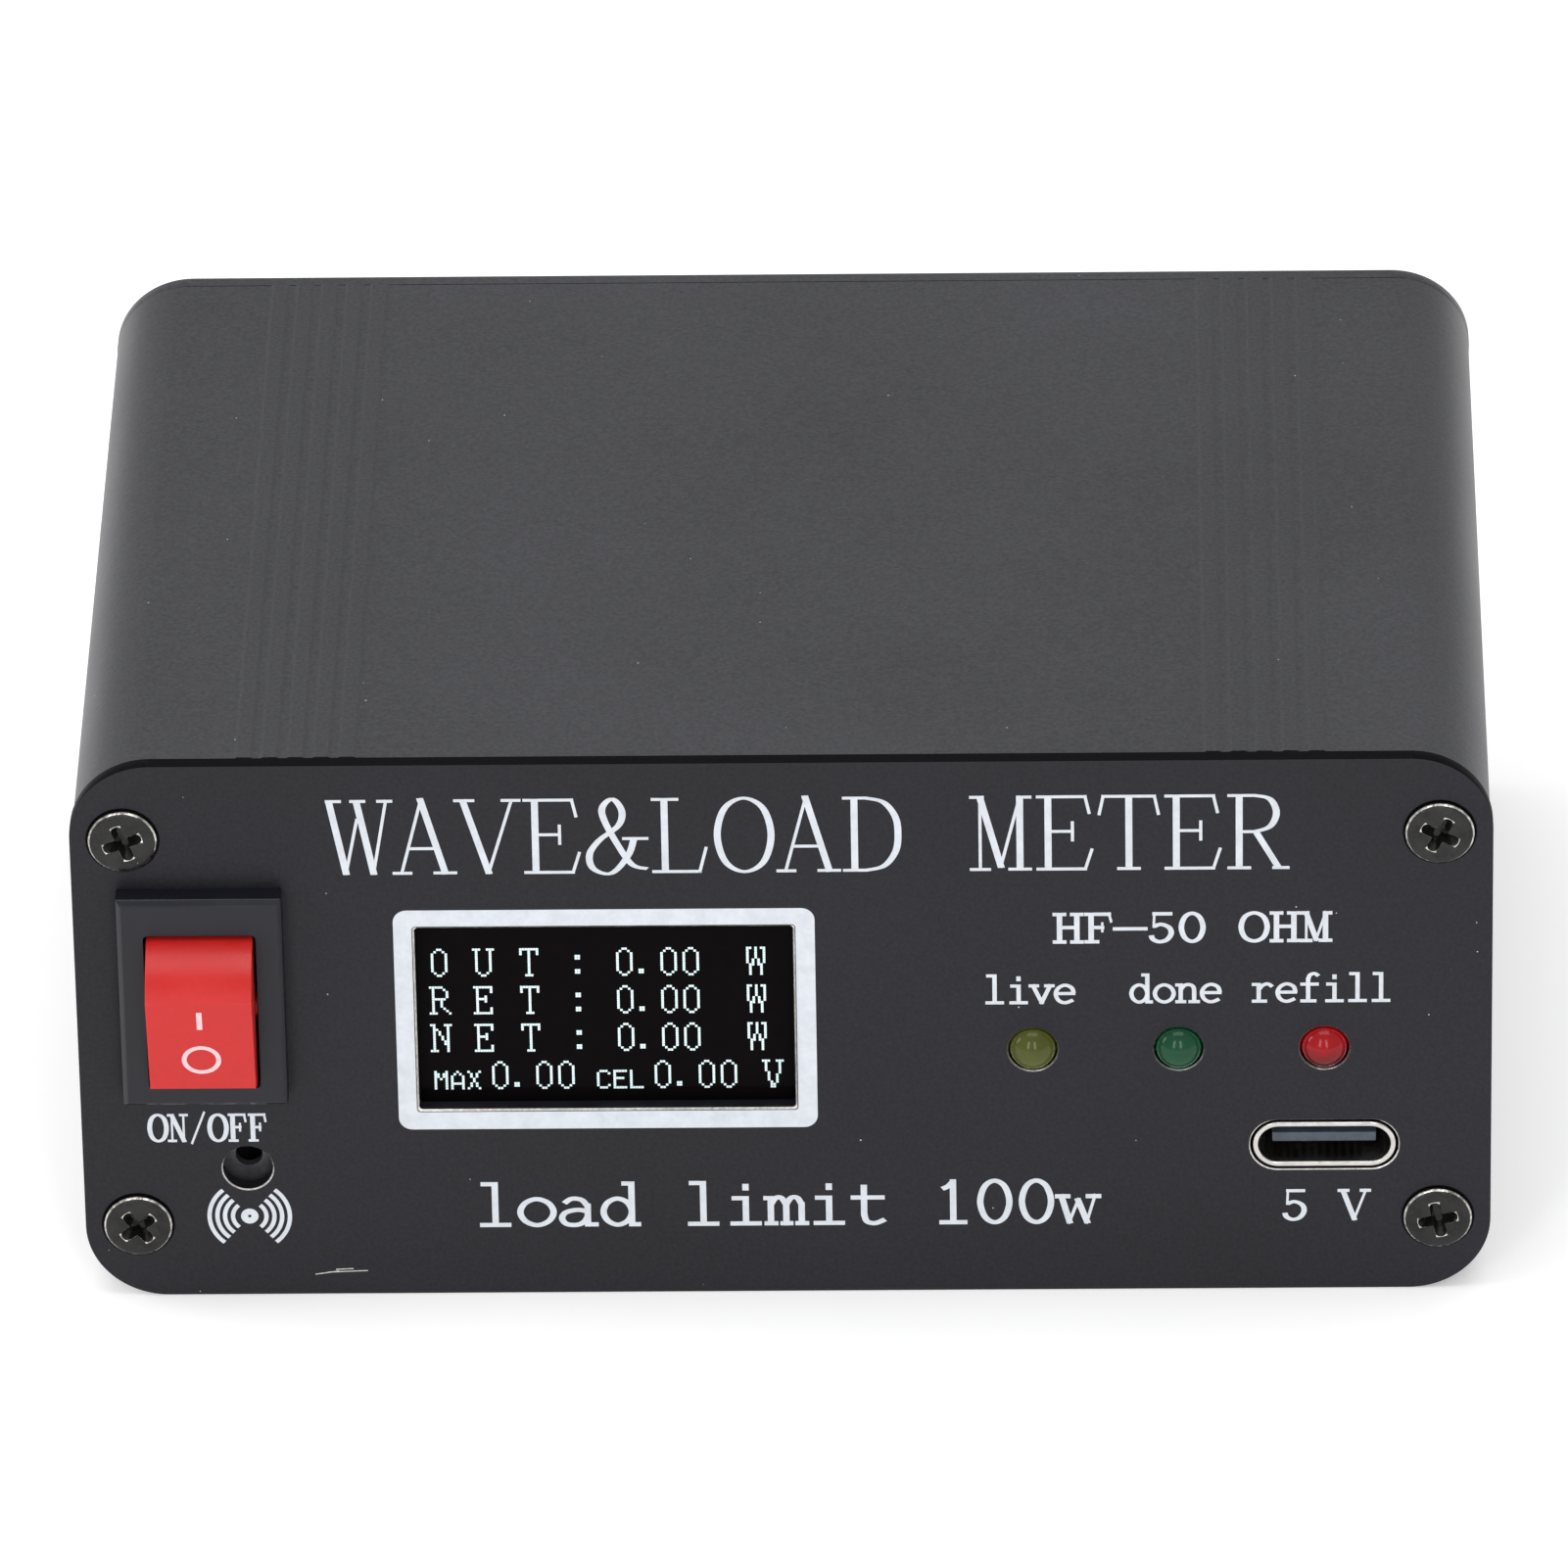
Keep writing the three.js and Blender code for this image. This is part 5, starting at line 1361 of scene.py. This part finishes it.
# ---------------------------------------------------------------------------------------------------------
# What stays inside the case keeps its frame shape: boards, chips, the coupler, the battery and the leads. Each
# has the finish of what it is made of.

board_green = surface("board_green", (0.02, 0.11, 0.04), 0.35, grain=900.0, relief=0.02, patch=350.0, mottle=0.3)
board_blue = surface("board_blue", (0.015, 0.04, 0.17), 0.35, grain=900.0, relief=0.02, patch=350.0, mottle=0.3)
moulded_black = surface("moulded_black", (0.022, 0.022, 0.024), 0.5, grain=5000.0, relief=0.01, mottle=0.15)
drawn_can = surface("drawn_can", (0.5, 0.5, 0.5), 0.28, metallic=1.0, grain=2500.0, relief=0.008, mottle=0.15)
sleeve_blue = surface("sleeve_blue", (0.02, 0.05, 0.24), 0.3, grain=1500.0, relief=0.006, mottle=0.1)
ferrite = surface("ferrite", (0.07, 0.07, 0.08), 0.6, grain=3500.0, relief=0.04, mottle=0.3)
copper = surface("copper", (0.6, 0.22, 0.09), 0.28, metallic=1.0, grain=2000.0, relief=0.006, mottle=0.15)
pouch_foil = surface("pouch_foil", (0.45, 0.46, 0.47), 0.32, metallic=0.9, grain=500.0, relief=0.06, mottle=0.12)
sleeve_red = surface("sleeve_red", (0.45, 0.02, 0.015), 0.45, grain=2500.0, relief=0.006, mottle=0.1)
sleeve_black = surface("sleeve_black", (0.014, 0.014, 0.015), 0.45, grain=2500.0, relief=0.006, mottle=0.15)
foam = surface("foam", (0.014, 0.014, 0.015), 0.9, grain=3500.0, relief=0.12, patch=700.0, mottle=0.3)
spring_wire = surface("spring_wire", (0.5, 0.5, 0.49), 0.3, metallic=1.0, grain=4000.0, relief=0.005, mottle=0.15)
inner_finishes = {
    board_green: ("led_board", "charger_board", "main_board"),
    board_blue: ("display_board",),
    moulded_black: ("display_header", "charger_chip", "charger_header", "microcontroller", "sounder_base"),
    drawn_can: ("crystal",),
    sleeve_blue: ("capacitor",),
    ferrite: ("coupler_core_1", "coupler_core_2"),
    copper: ("coupler_winding_1", "coupler_winding_2"),
    gold: ("through_line", "switch_contact", "switch_terminal_1", "switch_terminal_2"),
    pouch_foil: ("battery_cell",),
    sleeve_red: ("battery_lead_red", "switch_lead_red", "display_ribbon"),
    sleeve_black: ("battery_lead_black", "switch_lead_black"),
    foam: ("battery_pad", "display_gasket"),
    spring_wire: ("rocker_spring",),
    switch_black: ("rocker_plunger",),
    nickel: ("socket_1_washer", "socket_1_nut", "socket_2_washer", "socket_2_nut"),
}
for material, nodes in inner_finishes.items():
    for node in nodes:
        carried = frame["nodes"][node].data.materials
        carried.clear()
        carried.append(material)
